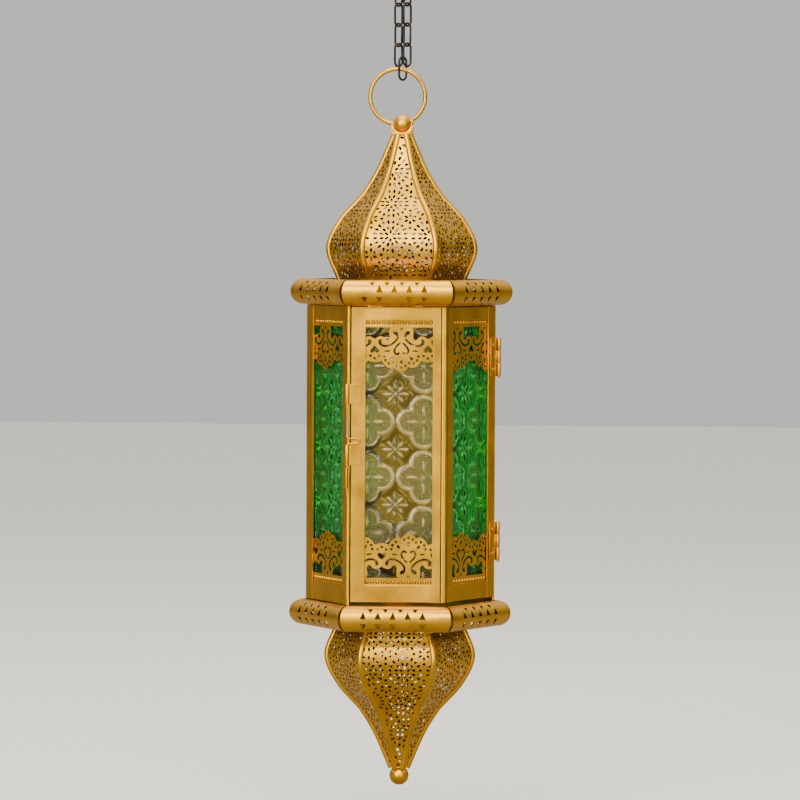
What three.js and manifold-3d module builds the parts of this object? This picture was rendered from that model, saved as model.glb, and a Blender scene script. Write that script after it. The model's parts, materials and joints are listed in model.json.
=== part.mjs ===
import * as THREE from 'three';
import { mergeVertices } from 'three/addons/utils/BufferGeometryUtils.js';
import Module from 'manifold-3d';

// A hexagonal Moroccan pendant lantern on its doubled chain, in millimetres, +Z up.
// The origin is on the top face of the ceiling plate, straight above the lantern's axis.
// Inside the hanging group, z = 0 is the underside of the fixed panels, and the front faces -Y.

// General clearances and sheet
const seatGap = 0.3;
const sheet = 0.9;
const sideCount = 6;
const sideTurn = (2 * Math.PI) / sideCount;
const halfTurnTan = Math.tan(sideTurn / 2);
const halfTurnCos = Math.cos(sideTurn / 2);

// Hexagonal body
const bodyCornerRadius = 63.3;
const bodyHeight = 197;
const frameThickness = 1.2;
const bodyApothem = bodyCornerRadius * halfTurnCos;
const stileWidth = 9.45;
const bottomRailHeight = 13.6;
const topRailHeight = 9.2;
const windowWidth = bodyCornerRadius - 2 * stileWidth;
const windowHeight = bodyHeight - bottomRailHeight - topRailHeight;
const doorFloorGap = 2.2;
const doorRoofGap = 0.5;
const doorWindowShift = 1.1;

// Corner strips: one turns the door's corner, the other stands beside the door's free edge
const doorPostLeg = 2.2;
const doorPostGroove = 0.8;
const latchPostLeg = 4.5;
const latchPostProud = 0.4;
const doorEdgeSetback = 1.3;

// Pressed glass and the stamped lace strips in front of it
const laceThickness = 0.8;
const laceLap = 2.5;
const laceBandHeight = 4.3;
const laceDrop = 29.7;
const lacePeriod = 35;
const glassThickness = 3;
const glassLap = 3;

// Lace motif, repeated along the strip: each lobe's stretch of the period and its reach below the band
const laceLobes = [
  { from: -0.13, to: 0.13, reach: 1 },
  { from: 0.13, to: 0.385, reach: 0.9 },
  { from: 0.385, to: 0.615, reach: 0.78 },
  { from: 0.615, to: 0.87, reach: 0.9 },
];
const laceLobeRound = 3;
const laceLobeSteps = 5;
const laceHeartDrop = 14.3;
const laceEndMargin = 0.6;

// Cut-outs of one motif, as [x, y] pairs about its centre line
const laceOpening = [[4.2, -1.4], [16.6, -1], [16.6, -7.2], [14.6, -8.2], [11, -6], [8.4, -8.6], [5.6, -7.4]];
const laceHeart = [[0, 2.3], [2, 0.4], [1.9, -1.1], [0.8, -1.7], [-0.8, -1.7], [-1.9, -1.1], [-2, 0.4]];
const laceSpade = [[0, 3.2], [3.6, -0.4], [3.4, -2.6], [1.4, -3], [-1.4, -3], [-3.4, -2.6], [-3.6, -0.4]];
const laceSlot = [[7, 0.8], [11, 2.6], [11.4, 1.6], [7.6, -0.4]];

// How far the motif stands to the right of each window's middle: the strips were cut from a long roll
const laceShiftTop = {
  front: 1.3, right_front: -14.9, right_back: 5, back: -9, left_back: 12, left_front: -6.6,
};
const laceShiftBottom = {
  front: 6.6, right_front: -9, right_back: -4, back: 10, left_back: -13, left_front: -2,
};

// Top and bottom plates with their rolled rims
const rimRollRadius = 8.5;
const rimOverhang = 10.5;
const rimReach = bodyApothem + rimOverhang;
const rimMitreGap = 1.3;
const rimLip = 3;
const rimHoleCount = 5;
const rimHolePitch = 9.8;
const rimHoleWidth = 3.8;
const rimHoleHeight = 3.8;
const rimHoleOffset = 3.3;
const rimHoleShift = -1.2;
const ventRadius = 30;

// Onion domes: the tip, the kink, the belly and the foot of each gore
const domeHeight = 96;
const domeFootRadius = 42.6;
const domeBellyRadius = 49.8;
const domeBellyHeight = 20.6;
const domeKinkRadius = 27;
const domeKinkHeight = 55.5;
const domeNeckRadius = 11.7;
const domeNeckHeight = 83.5;
const domeTipRadius = 6.4;
const domeShoulderSwell = 4;
const domeSpireSag = 1.2;
const domeWall = 1.2;
const domeRibWidth = 3.6;
const domeRibLift = 0.7;
const domeRibMiddle = 0.7;
const domeRibShare = 0.7;

// Top ball, yoke and hanging ring
const ballRadius = 6;
const yokeEarThickness = 1.2;
const yokeEarGap = 0.4;
const yokeEarRadius = 4.7;
const ringRadius = 18.35;
const ringWireRadius = 1.35;
const ringTilt = THREE.MathUtils.degToRad(10);
const ringRunClearance = 0.45;
const ringBoreOvershoot = 1.5;

// Finial ball under the lower dome
const finialRadius = 6.5;
const finialSeatDepth = 1.6;

// Chain
const linkLength = 16.7;
const linkWidth = 8;
const linkWire = 1.5;
const chainLevels = 5;
const strandGap = 0.5;
const strandSpacing = linkWidth + strandGap;
const ringSeatGap = 0.5;

// Ceiling hook and plate
const hookWireRadius = 1.5;
const hookRun = strandSpacing;
const hookBend = 5;
const hookUpstand = 9;
const hookNeck = 1;
// How far the hook has swung out, as a share of its reach, at so many bends under the boss
const hookSweep = [[0.4, 0.6], [0.88, 1.1], [1, 1.7]];
const hookShank = 15;
const plateRadius = 19;
const plateThickness = 3;
const plateBossRadius = 4.5;
const plateBossLength = 6;
const plateScrewRadius = 2.2;
const plateScrewSpacing = 26;

// Butt hinges
const hingeHeight = 25.4;
const hingeBarrelRadius = 1.5;
const hingePinRadius = 0.6;
const hingePinClearance = 0.3;
const hingeLeafWidth = 7;
const hingeLeafThickness = 0.6;
const lowerHingeInset = 39.3;
const upperHingeInset = 34.6;
const hingeCentreHeights = [lowerHingeInset, bodyHeight - upperHingeInset];
const hingeRivetSetback = 3.85;
const hingePinHeadWidth = 0.3;
const hingePinHeadHeight = 0.6;
const hingeRivetRadius = 1.1;
const hingeRivetHead = 0.5;
const hingeRivetSink = 0.1;
const hingeRivetTaper = 0.7;
const hingeRivetInset = 4.5;

// Sliding bolt, its two sleeves on the door and its keeper on the fixed post
const boltRadius = 0.55;
const boltTail = 4.5;
const boltHeadInset = 1.9;
const boltHandleReach = 8;
const boltHandleHeight = 4.6;
const boltBendRound = 0.5;
const boltBendRun = 2;
const sleeveRadius = 1.5;
const sleeveClearance = 0.3;
const sleeveHeight = 13.1;
const sleeveLeafThickness = 0.6;
const keeperFoot = 77.5;
const keeperGap = 2;
const sleevePitch = 40.2;
const lowerSleeveFoot = keeperFoot + sleeveHeight + keeperGap;
const upperSleeveFoot = lowerSleeveFoot + sleevePitch;
const sleeveLeafWidth = 9;
const keeperLeafWidth = 4.6;

// Candle cup on the floor
const cupRadius = 21;
const cupHeight = 14;
const cupWall = 1;

const goldPaint = new THREE.MeshStandardMaterial({
  name: 'gold_paint', color: 0xd8a443, roughness: 0.38, metalness: 0.85,
});
const blackSteel = new THREE.MeshStandardMaterial({
  name: 'black_steel', color: 0x1c1d22, roughness: 0.42, metalness: 0.8,
});
const clearGlass = new THREE.MeshStandardMaterial({
  name: 'clear_glass', color: 0xd9dcc4, roughness: 0.08, metalness: 0, transparent: true, opacity: 0.4,
});
const greenGlass = new THREE.MeshStandardMaterial({
  name: 'green_glass', color: 0x0f8a3c, roughness: 0.08, metalness: 0, transparent: true, opacity: 0.5,
});

// Joining and cutting of closed meshes
const wasm = await Module();
wasm.setup();

function solid(geometry) {
  const bare = geometry.clone();
  bare.deleteAttribute('normal');
  bare.deleteAttribute('uv');
  const merged = mergeVertices(bare, 1e-4);
  const triVerts = new Uint32Array(merged.index.array);
  const vertProperties = new Float32Array(merged.attributes.position.array);
  return new wasm.Manifold(new wasm.Mesh({ numProp: 3, vertProperties, triVerts }));
}

function geometryOf(body) {
  const mesh = body.getMesh();
  const geometry = new THREE.BufferGeometry();
  geometry.setAttribute('position', new THREE.BufferAttribute(new Float32Array(mesh.vertProperties), 3));
  geometry.setIndex(new THREE.BufferAttribute(new Uint32Array(mesh.triVerts), 1));
  geometry.computeVertexNormals();
  return geometry;
}

const join = (shapes) => geometryOf(shapes.map(solid).reduce((all, next) => all.add(next)));
const common = (one, other) => geometryOf(solid(one).intersect(solid(other)));

function cut(base, tools) {
  let left = solid(base);
  for (const tool of tools) left = left.subtract(solid(tool));
  return geometryOf(left);
}

function piece(name, geometry, material) {
  const mesh = new THREE.Mesh(geometry, material);
  mesh.name = name;
  return mesh;
}

function block(x0, x1, y0, y1, z0, z1) {
  return new THREE.BoxGeometry(x1 - x0, y1 - y0, z1 - z0)
    .translate((x0 + x1) / 2, (y0 + y1) / 2, (z0 + z1) / 2);
}

// A plan outline, as [x, y] pairs, raised from z0 to z1
function prism(points, z0, z1) {
  const shape = new THREE.Shape(points.map(([x, y]) => new THREE.Vector2(x, y)));
  return new THREE.ExtrudeGeometry(shape, { depth: z1 - z0, bevelEnabled: false, steps: 1 })
    .translate(0, 0, z0);
}

// An upright round bar or its bore
function rod(radius, z0, z1, x = 0, y = 0, sides = 12) {
  return new THREE.CylinderGeometry(radius, radius, z1 - z0, sides)
    .rotateX(Math.PI / 2)
    .translate(x, y, (z0 + z1) / 2);
}

// A round profile of [radius, height] pairs turned about Z
function turned(profile, segments) {
  const points = profile.map(([r, z]) => new THREE.Vector2(r, z));
  return new THREE.LatheGeometry(points, segments).rotateX(Math.PI / 2);
}

// A wire of round section along a list of points
function wire(points, radius, steps, sides) {
  const path = new THREE.CatmullRomCurve3(points, false, 'centripetal');
  const section = new THREE.Shape();
  for (let i = 0; i < sides; i++) {
    const a = (2 * Math.PI * i) / sides;
    if (i === 0) section.moveTo(radius, 0);
    else section.lineTo(radius * Math.cos(a), radius * Math.sin(a));
  }
  section.closePath();
  return new THREE.ExtrudeGeometry(section, { steps, extrudePath: path, bevelEnabled: false });
}

// A closed skin through rings of equal count, with a fan over the first and the last
function loft(rings) {
  const count = rings[0].length;
  const positions = [];
  const centre = (ring) => ring.reduce((sum, p) => sum.add(p), new THREE.Vector3()).divideScalar(count);
  for (const ring of rings) for (const p of ring) positions.push(p.x, p.y, p.z);
  const first = centre(rings[0]);
  const last = centre(rings[rings.length - 1]);
  positions.push(first.x, first.y, first.z, last.x, last.y, last.z);
  const firstAt = rings.length * count;
  const index = [];
  for (let i = 0; i < count; i++) {
    const next = (i + 1) % count;
    for (let j = 0; j < rings.length - 1; j++) {
      const a = j * count + i;
      const b = j * count + next;
      index.push(a, b, a + count, b, b + count, a + count);
    }
    const end = (rings.length - 1) * count;
    index.push(firstAt, next, i, firstAt + 1, end + i, end + next);
  }
  const geometry = new THREE.BufferGeometry();
  geometry.setAttribute('position', new THREE.Float32BufferAttribute(positions, 3));
  geometry.setIndex(index);
  geometry.computeVertexNormals();
  return geometry;
}

// Panels: each is drawn as the front one and turned to its side of the hexagon
const sideNames = ['front', 'right_front', 'right_back', 'back', 'left_back', 'left_front'];
const doorSides = ['front', 'right_front'];
const greenSides = ['right_front', 'right_back', 'left_back', 'left_front'];
// A half width at a given apothem, short of the corner by a setback measured along the side
const halfWidth = (apothem, setback) => apothem * halfTurnTan - setback;

// How far each end of a panel stops short of the hexagon's corner
function setbacks(side) {
  const mitre = seatGap / 2 / halfTurnCos;
  const ends = { left: mitre, right: mitre };
  if (side === 'front') {
    ends.left = doorEdgeSetback;
    ends.right = doorPostLeg + doorPostGroove;
  }
  if (side === 'right_front') {
    ends.left = doorPostLeg + doorPostGroove;
    ends.right = doorEdgeSetback;
  }
  if (side === 'left_front') ends.right = latchPostLeg + seatGap;
  return ends;
}

function panelSpan(side) {
  const door = doorSides.includes(side);
  return { foot: door ? doorFloorGap : 0, head: bodyHeight - (door ? doorRoofGap : 0) };
}

const windowShift = (side) => (side === 'front' ? doorWindowShift : 0);

function panelFrame(side) {
  const { left, right } = setbacks(side);
  const { foot, head } = panelSpan(side);
  const inner = bodyApothem - frameThickness;
  const plate = prism([
    [-halfWidth(bodyApothem, left), -bodyApothem],
    [halfWidth(bodyApothem, right), -bodyApothem],
    [halfWidth(inner, right), -inner],
    [-halfWidth(inner, left), -inner],
  ], foot, head);
  const middle = windowShift(side);
  const window = block(
    middle - windowWidth / 2, middle + windowWidth / 2, -bodyApothem - 1, -inner + 1,
    bottomRailHeight, bottomRailHeight + windowHeight,
  );
  return cut(plate, [window]);
}

// The strip's scalloped lower edge
function laceEdge(half, shift) {
  const points = [];
  const firstPeriod = Math.floor((-half - shift) / lacePeriod) - 1;
  const lastPeriod = Math.ceil((half - shift) / lacePeriod) + 1;
  for (let period = firstPeriod; period <= lastPeriod; period++) {
    for (const lobe of laceLobes) {
      const x0 = shift + (period + lobe.from) * lacePeriod;
      const x1 = shift + (period + lobe.to) * lacePeriod;
      for (let i = 0; i < laceLobeSteps; i++) {
        const t = (i + 0.5) / laceLobeSteps;
        const x = x0 + (x1 - x0) * t;
        const depth = laceDrop * lobe.reach - laceLobeRound * (1 - Math.sin(Math.PI * t));
        if (Math.abs(x) < half - laceEndMargin / 2) points.push([x, -laceBandHeight - depth]);
      }
    }
  }
  const firstY = points[0][1];
  const lastY = points[points.length - 1][1];
  return [[-half, firstY], ...points, [half, lastY]];
}

const placed = (points, x, y, mirror = 1) => points.map(([px, py]) => [x + mirror * px, y + py]);

function laceHoles(half, shift) {
  const holes = [];
  const band = -laceBandHeight;
  const middle = band - laceHeartDrop;
  const periods = Math.ceil(half / lacePeriod) + 1;
  for (let period = -periods; period <= periods; period++) {
    const x = shift + period * lacePeriod;
    holes.push(placed(laceOpening, x, band), placed(laceOpening, x, band, -1));
    holes.push(placed(laceHeart, x + lacePeriod / 2, middle));
    holes.push(placed(laceSpade, x, middle));
    holes.push(placed(laceSlot, x, middle), placed(laceSlot, x, middle, -1));
  }
  return holes.filter((hole) => hole.every(([x]) => Math.abs(x) < half - laceEndMargin));
}

function laceStrip(side, shiftToRight, upsideDown) {
  const half = windowWidth / 2 + laceLap;
  const shift = upsideDown ? -shiftToRight : shiftToRight;
  const shape = new THREE.Shape();
  shape.moveTo(half, laceLap);
  shape.lineTo(-half, laceLap);
  for (const [x, y] of laceEdge(half, shift)) shape.lineTo(x, y);
  shape.closePath();
  for (const hole of laceHoles(half, shift)) {
    shape.holes.push(new THREE.Path(hole.map(([x, y]) => new THREE.Vector2(x, y))));
  }
  const depth = bodyApothem - frameThickness - seatGap;
  const geometry = new THREE.ExtrudeGeometry(shape, { depth: laceThickness, bevelEnabled: false, steps: 1 })
    .translate(0, 0, -laceThickness)
    .rotateX(Math.PI / 2);
  const middle = windowShift(side);
  if (upsideDown) return geometry.rotateY(Math.PI).translate(middle, -depth, bottomRailHeight);
  return geometry.translate(middle, -depth, bottomRailHeight + windowHeight);
}

function pane(side) {
  const outer = bodyApothem - frameThickness - laceThickness - 2 * seatGap;
  const half = windowWidth / 2 + glassLap;
  const middle = windowShift(side);
  return block(
    middle - half, middle + half, -outer, -outer + glassThickness,
    bottomRailHeight - glassLap, bottomRailHeight + windowHeight + glassLap,
  );
}

// The angle strip between the door's two panels, drawn at the front panel's right corner
function doorCornerPost() {
  const turn = (x, y) => new THREE.Vector2(x, y).rotateAround(new THREE.Vector2(), sideTurn).toArray();
  const inner = bodyApothem - frameThickness;
  const outline = [
    [halfWidth(bodyApothem, doorPostLeg), -bodyApothem],
    [halfWidth(bodyApothem, 0), -bodyApothem],
    turn(-halfWidth(bodyApothem, doorPostLeg), -bodyApothem),
    turn(-halfWidth(inner, doorPostLeg), -inner),
    [halfWidth(inner, 0), -inner],
    [halfWidth(inner, doorPostLeg), -inner],
  ];
  return prism(outline, doorFloorGap, bodyHeight - doorRoofGap);
}

// The strip on the fixed side of the latch corner, drawn on the left front panel's right end
function latchPost() {
  const outer = bodyApothem + latchPostProud;
  const inner = bodyApothem - frameThickness;
  const end = seatGap;
  return prism([
    [halfWidth(bodyApothem, latchPostLeg), -outer],
    [halfWidth(outer, end), -outer],
    [halfWidth(inner, end), -inner],
    [halfWidth(bodyApothem, latchPostLeg), -inner],
  ], 0, bodyHeight);
}

// A plate with six rolled flaps. Its body side is z = 0 and the flaps rise to z = 2 * rimRollRadius
const plateApothem = rimReach - rimRollRadius;

function rimFlap() {
  const outerR = rimRollRadius;
  const innerR = rimRollRadius - sheet;
  const steps = 7;
  const outline = [];
  const arc = (r, from, to) => {
    for (let i = 0; i <= steps; i++) {
      const a = from + ((to - from) * i) / steps;
      outline.push(new THREE.Vector2(-plateApothem - r * Math.sin(a), outerR - r * Math.cos(a)));
    }
  };
  outline.push(new THREE.Vector2(-plateApothem + rimLip, 0));
  arc(outerR, 0, Math.PI);
  outline.push(new THREE.Vector2(-plateApothem + rimLip, 2 * outerR));
  outline.push(new THREE.Vector2(-plateApothem + rimLip, 2 * outerR - sheet));
  arc(innerR, Math.PI, 0);
  outline.push(new THREE.Vector2(-plateApothem + rimLip, sheet));
  // The outline is drawn in y and z, and extruded along x
  const length = 2 * rimReach;
  const roll = new THREE.ExtrudeGeometry(new THREE.Shape(outline), { depth: length, bevelEnabled: false })
    .translate(0, 0, -length / 2)
    .applyMatrix4(new THREE.Matrix4().makeBasis(
      new THREE.Vector3(0, 1, 0), new THREE.Vector3(0, 0, 1), new THREE.Vector3(1, 0, 0),
    ));
  const far = rimReach + rimRollRadius;
  const near = plateApothem - rimLip - 1;
  const wedge = prism([
    [halfWidth(near, rimMitreGap), -near],
    [-halfWidth(near, rimMitreGap), -near],
    [-halfWidth(far, rimMitreGap), -far],
    [halfWidth(far, rimMitreGap), -far],
  ], -1, 2 * rimRollRadius + 1);
  const holes = [];
  for (let i = 0; i < rimHoleCount; i++) {
    const x = rimHoleShift + (i - (rimHoleCount - 1) / 2) * rimHolePitch;
    for (const up of [1, -1]) holes.push(triangleCutter(x, rimRollRadius + up * rimHoleOffset, up));
  }
  return cut(common(roll, wedge), holes);
}

// A three-sided punch through the front of a rim, its point away from the roll's middle
function triangleCutter(x, z, up) {
  const half = rimHoleWidth / 2;
  const tall = rimHoleHeight / 2;
  const corners = [[-half, -up * tall], [half, -up * tall], [0, up * tall]];
  const shape = new THREE.Shape(corners.map(([px, py]) => new THREE.Vector2(px, py)));
  return new THREE.ExtrudeGeometry(shape, { depth: rimRollRadius, bevelEnabled: false, steps: 1 })
    .rotateX(Math.PI / 2)
    .translate(x, -rimReach + rimRollRadius / 2, z);
}

function rimmedPlate(vented) {
  const corner = plateApothem / halfTurnCos;
  const hexagon = [];
  for (let k = 0; k < sideCount; k++) {
    hexagon.push([corner * Math.cos(k * sideTurn), corner * Math.sin(k * sideTurn)]);
  }
  const flap = rimFlap();
  const shapes = [prism(hexagon, 0, sheet)];
  for (let k = 0; k < sideCount; k++) shapes.push(flap.clone().rotateZ(k * sideTurn));
  const plate = join(shapes);
  return vented ? cut(plate, [rod(ventRadius, -1, sheet + 1, 0, 0, 24)]) : plate;
}

// Domes: a hexagonal onion with a raised bead along each seam. Its foot is z = 0, tip at the top
const collarHeight = 2 * rimRollRadius - sheet - seatGap;

// The gore's outline from foot to kink, swelling past the straight line between belly and kink
const domeProfile = new THREE.CatmullRomCurve3([
  new THREE.Vector3(domeFootRadius, 0, 0),
  new THREE.Vector3(domeBellyRadius, 0, domeBellyHeight),
  new THREE.Vector3(
    (domeBellyRadius + domeKinkRadius) / 2 + domeShoulderSwell, 0,
    (domeBellyHeight + domeKinkHeight) / 2,
  ),
  new THREE.Vector3(domeKinkRadius, 0, domeKinkHeight),
]);

function domeRows() {
  const rows = [[domeFootRadius, -collarHeight]];
  const bellySteps = 7;
  for (let i = 0; i <= bellySteps; i++) {
    const p = domeProfile.getPoint(i / bellySteps);
    rows.push([p.x, p.z]);
  }
  // Above the kink the gores sweep up in a hollow curve to the neck, then straight to the tip
  const spireSteps = 4;
  for (let i = 1; i <= spireSteps; i++) {
    const t = i / spireSteps;
    const sag = domeSpireSag * Math.sin(Math.PI * t);
    rows.push([
      domeKinkRadius + (domeNeckRadius - domeKinkRadius) * t - sag,
      domeKinkHeight + (domeNeckHeight - domeKinkHeight) * t,
    ]);
  }
  rows.push([domeTipRadius, domeHeight]);
  return rows;
}

// One level of the dome: a hexagon whose corners carry the bead
function domeRing(radius, height, lift) {
  const ring = [];
  const rib = Math.min(domeRibWidth, radius * domeRibShare);
  for (let k = 0; k < sideCount; k++) {
    const corner = new THREE.Vector2(radius, 0).rotateAround(new THREE.Vector2(), k * sideTurn);
    const before = new THREE.Vector2(radius, 0).rotateAround(new THREE.Vector2(), (k - 1) * sideTurn);
    const after = new THREE.Vector2(radius, 0).rotateAround(new THREE.Vector2(), (k + 1) * sideTurn);
    const outward = corner.clone().normalize();
    const back = before.sub(corner).normalize();
    const ahead = after.sub(corner).normalize();
    const at = (direction, along, up) => corner.clone()
      .addScaledVector(direction, along).addScaledVector(outward, up);
    for (const p of [at(back, rib / 2, 0), at(back, rib / 4, lift), at(ahead, 0, lift * domeRibMiddle),
      at(ahead, rib / 4, lift), at(ahead, rib / 2, 0)]) ring.push(new THREE.Vector3(p.x, p.y, height));
  }
  return ring;
}

function dome() {
  const rows = domeRows();
  const outer = rows.map(([r, z]) => domeRing(r, z + collarHeight, domeRibLift));
  const inner = rows.map(([r, z], i) => {
    const top = i === rows.length - 1;
    return domeRing(r - domeWall / halfTurnCos, z + collarHeight - (top ? domeWall : 0), 0);
  });
  return loft([...inner.reverse(), ...outer]);
}

// Ball, yoke and ring share one axis, which leans with the ring
const floorTop = 0;
const roofFoot = bodyHeight + seatGap;
const domeFootZ = roofFoot + sheet + seatGap;
const domeTipZ = domeFootZ + collarHeight + domeHeight;
const yokeFoot = domeTipZ + seatGap;
const pivotZ = yokeFoot + sheet + seatGap + ballRadius;
const ringCentre = new THREE.Vector3(
  -ringRadius * Math.sin(ringTilt), 0, pivotZ + ringRadius * Math.cos(ringTilt),
);

// The way of the ring's wire through ball and ears, at every swing: wider away from the middle
function ringBore(reach) {
  const steps = 4;
  const profile = [[0, -reach]];
  for (let i = -steps; i <= steps; i++) {
    const s = (reach * i) / steps;
    profile.push([ringWireRadius + ringRunClearance + (s * s) / (2 * ringRadius), s]);
  }
  profile.push([0, reach]);
  return turned(profile, 12).rotateY(Math.PI / 2 - ringTilt);
}

function topBall() {
  const sphere = new THREE.SphereGeometry(ballRadius, 16, 10).rotateX(Math.PI / 2);
  return cut(sphere, [ringBore(ballRadius + ringBoreOvershoot)]);
}

function yoke() {
  const inside = ballRadius + yokeEarGap;
  const outside = inside + yokeEarThickness;
  const foot = -ballRadius - seatGap - sheet;
  const shapes = [block(-outside, outside, -yokeEarRadius, yokeEarRadius, foot, foot + sheet)];
  for (const side of [1, -1]) {
    const rise = side * Math.tan(ringTilt) * (inside + outside) / 2;
    const ear = new THREE.CylinderGeometry(yokeEarRadius, yokeEarRadius, yokeEarThickness, 16)
      .rotateZ(Math.PI / 2)
      .translate(side * (inside + outside) / 2, 0, rise);
    const x = [side * inside, side * outside].sort((a, b) => a - b);
    shapes.push(ear, block(x[0], x[1], -yokeEarRadius, yokeEarRadius, foot, rise));
  }
  return cut(join(shapes), [ringBore(outside + ringBoreOvershoot)]);
}

function hangingRing() {
  return new THREE.TorusGeometry(ringRadius, ringWireRadius, 8, 36).rotateX(Math.PI / 2);
}

function finialBall() {
  const flat = finialRadius - finialSeatDepth;
  const profile = [[0, flat]];
  const start = Math.acos(flat / finialRadius);
  const steps = 7;
  for (let i = 0; i < steps; i++) {
    const a = start + ((Math.PI - start) * i) / steps;
    profile.push([finialRadius * Math.sin(a), finialRadius * Math.cos(a)]);
  }
  profile.push([0, -finialRadius]);
  return turned(profile.reverse(), 16);
}

// Chain: an oval link is a torus whose upper and lower halves are drawn apart
function chainLink() {
  const bend = (linkWidth - linkWire) / 2;
  const stretch = (linkLength - linkWidth) / 2;
  const segments = 12;
  const link = new THREE.TorusGeometry(bend, linkWire / 2, 6, segments).rotateZ(Math.PI / segments);
  const position = link.attributes.position;
  for (let i = 0; i < position.count; i++) {
    const y = position.getY(i);
    position.setY(i, y + Math.sign(y) * stretch);
  }
  return link.rotateX(Math.PI / 2);
}

const linkPitch = linkLength - 2 * linkWire - seatGap;
const strandTurn = -Math.PI / 4;
const strandDirection = new THREE.Vector3(Math.cos(strandTurn), Math.sin(strandTurn), 0);
const ringSeatZ = ringCentre.z + ringRadius * Math.cos(ringTilt);
const halfOpen = linkWidth / 2 - linkWire;
const ringLinkZ = ringSeatZ - ringWireRadius - ringSeatGap + halfOpen;
const lowestLinkZ = ringLinkZ + halfOpen - linkWire / 2 - seatGap + linkLength / 2 - linkWire / 2;
const linkZ = (level) => lowestLinkZ + (chainLevels - level) * linkPitch;

// Ceiling hook: a square-bent hook whose run carries both strands
const hookRunZ = linkZ(1) + linkLength / 2 - linkWire - seatGap - hookWireRadius;
const hookTopZ = hookRunZ + hookShank + 2 * hookBend;
const ceilingZ = hookTopZ + seatGap + plateThickness;

function ceilingHook() {
  const out = hookRun / 2 + hookBend;
  const corner = hookBend * (1 - Math.SQRT1_2);
  const neck = hookTopZ - plateBossLength - hookNeck;
  const points = [
    [0, hookTopZ], [0, (hookTopZ + neck) / 2], [0, neck],
    ...hookSweep.map(([share, bends]) => [out * share, neck - hookBend * bends]),
    [out, hookRunZ + hookBend],
    [out - corner, hookRunZ + corner], [hookRun / 2, hookRunZ], [-hookRun / 2, hookRunZ],
    [-out + corner, hookRunZ + corner], [-out, hookRunZ + hookBend], [-out, hookRunZ + hookUpstand],
  ].map(([x, z]) => new THREE.Vector3(x, 0, z));
  return wire(points, hookWireRadius, 28, 7);
}

function ceilingPlate() {
  const bore = hookWireRadius + seatGap;
  const bossFoot = -plateThickness - plateBossLength;
  const disc = turned([
    [0, -plateThickness], [bore, -plateThickness], [bore, bossFoot], [plateBossRadius, bossFoot],
    [plateBossRadius, -plateThickness], [plateRadius, -plateThickness], [plateRadius, 0], [0, 0],
  ], 24);
  const screwX = plateScrewSpacing / 2;
  const holes = [screwX, -screwX].map((x) => rod(plateScrewRadius, -plateThickness - 1, 1, x));
  return cut(disc, holes);
}

// Butt hinges: the barrel stands off the corner at +X. The door's leaf lies on the door's side
// panel and the fixed leaf on the panel behind the corner; the two are mirror images in Y
const leafApothem = bodyApothem + seatGap + hingeLeafThickness / 2;
const barrelX = (leafApothem + hingeBarrelRadius - hingeLeafThickness / 2) / halfTurnCos;
const knuckleHeight = hingeHeight / 3;

function hingeLeaf(doorSide) {
  const bare = hingeBarrelRadius + seatGap;
  const leafStart = barrelX * Math.sin(sideTurn / 2);
  // Drawn with the leaf's panel facing -Y, then turned to its own side of the corner
  const x = (along) => leafStart - along;
  const y0 = -leafApothem - hingeLeafThickness / 2;
  const y1 = -leafApothem + hingeLeafThickness / 2;
  const knuckles = doorSide
    ? [[knuckleHeight + seatGap / 2, 2 * knuckleHeight - seatGap / 2]]
    : [[0, knuckleHeight - seatGap / 2], [2 * knuckleHeight + seatGap / 2, hingeHeight]];
  const centreY = -barrelX * halfTurnCos;
  const shapes = [block(x(hingeLeafWidth + bare), x(bare), y0, y1, 0, hingeHeight)];
  for (const [z0, z1] of knuckles) {
    shapes.push(block(x(bare + 1), x(0), y0, y1, z0, z1));
    shapes.push(rod(hingeBarrelRadius, z0, z1, x(0), centreY));
  }
  for (const z of [hingeRivetInset, hingeHeight - hingeRivetInset]) {
    const height = hingeRivetHead + hingeRivetSink;
    const top = hingeRivetRadius * hingeRivetTaper;
    shapes.push(new THREE.CylinderGeometry(top, hingeRivetRadius, height, 10)
      .rotateX(Math.PI)
      .translate(x(bare + hingeRivetSetback), y0 + hingeRivetSink - height / 2, z));
  }
  const bore = rod(hingePinRadius + hingePinClearance, -1, hingeHeight + 1, x(0), centreY);
  const leaf = cut(join(shapes), [bore]).rotateZ(sideTurn);
  return doorSide ? leaf : mirrorY(leaf);
}

// A mirror image in the plane y = 0, with its faces turned back outwards
function mirrorY(geometry) {
  const mirrored = geometry.clone().scale(1, -1, 1);
  const index = mirrored.index.array;
  for (let i = 0; i < index.length; i += 3) [index[i + 1], index[i + 2]] = [index[i + 2], index[i + 1]];
  mirrored.computeVertexNormals();
  return mirrored;
}

function hingePin() {
  const head = hingePinRadius + hingePinClearance + hingePinHeadWidth;
  const reach = seatGap + hingePinHeadHeight;
  return join([
    rod(hingePinRadius, -reach, hingeHeight + reach),
    rod(head, -reach, -seatGap),
    rod(head, hingeHeight + seatGap, hingeHeight + reach),
  ]);
}

// Latch: the bolt's axis stands off the corner between the front and left front panels
const boltAxisApothem = bodyApothem + latchPostProud + seatGap + sleeveRadius;
const boltX = -boltAxisApothem * halfTurnTan;
const boltY = -boltAxisApothem;

// A rolled sleeve: a knuckle round the bolt with a leaf lying on the panel beside it
function sleeve(foot, leafWidth, toRight) {
  const face = toRight ? bodyApothem : bodyApothem + latchPostProud;
  const y1 = -face - seatGap;
  const y0 = y1 - sleeveLeafThickness;
  const far = (toRight ? 1 : -1) * (sleeveRadius + leafWidth);
  const knuckle = rod(sleeveRadius, foot, foot + sleeveHeight, 0, boltY);
  const leaf = block(Math.min(0, far), Math.max(0, far), y0, y1, foot, foot + sleeveHeight);
  const bore = rod(boltRadius + sleeveClearance, foot - 1, foot + sleeveHeight + 1, 0, boltY);
  return cut(join([knuckle, leaf]), [bore]);
}

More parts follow.
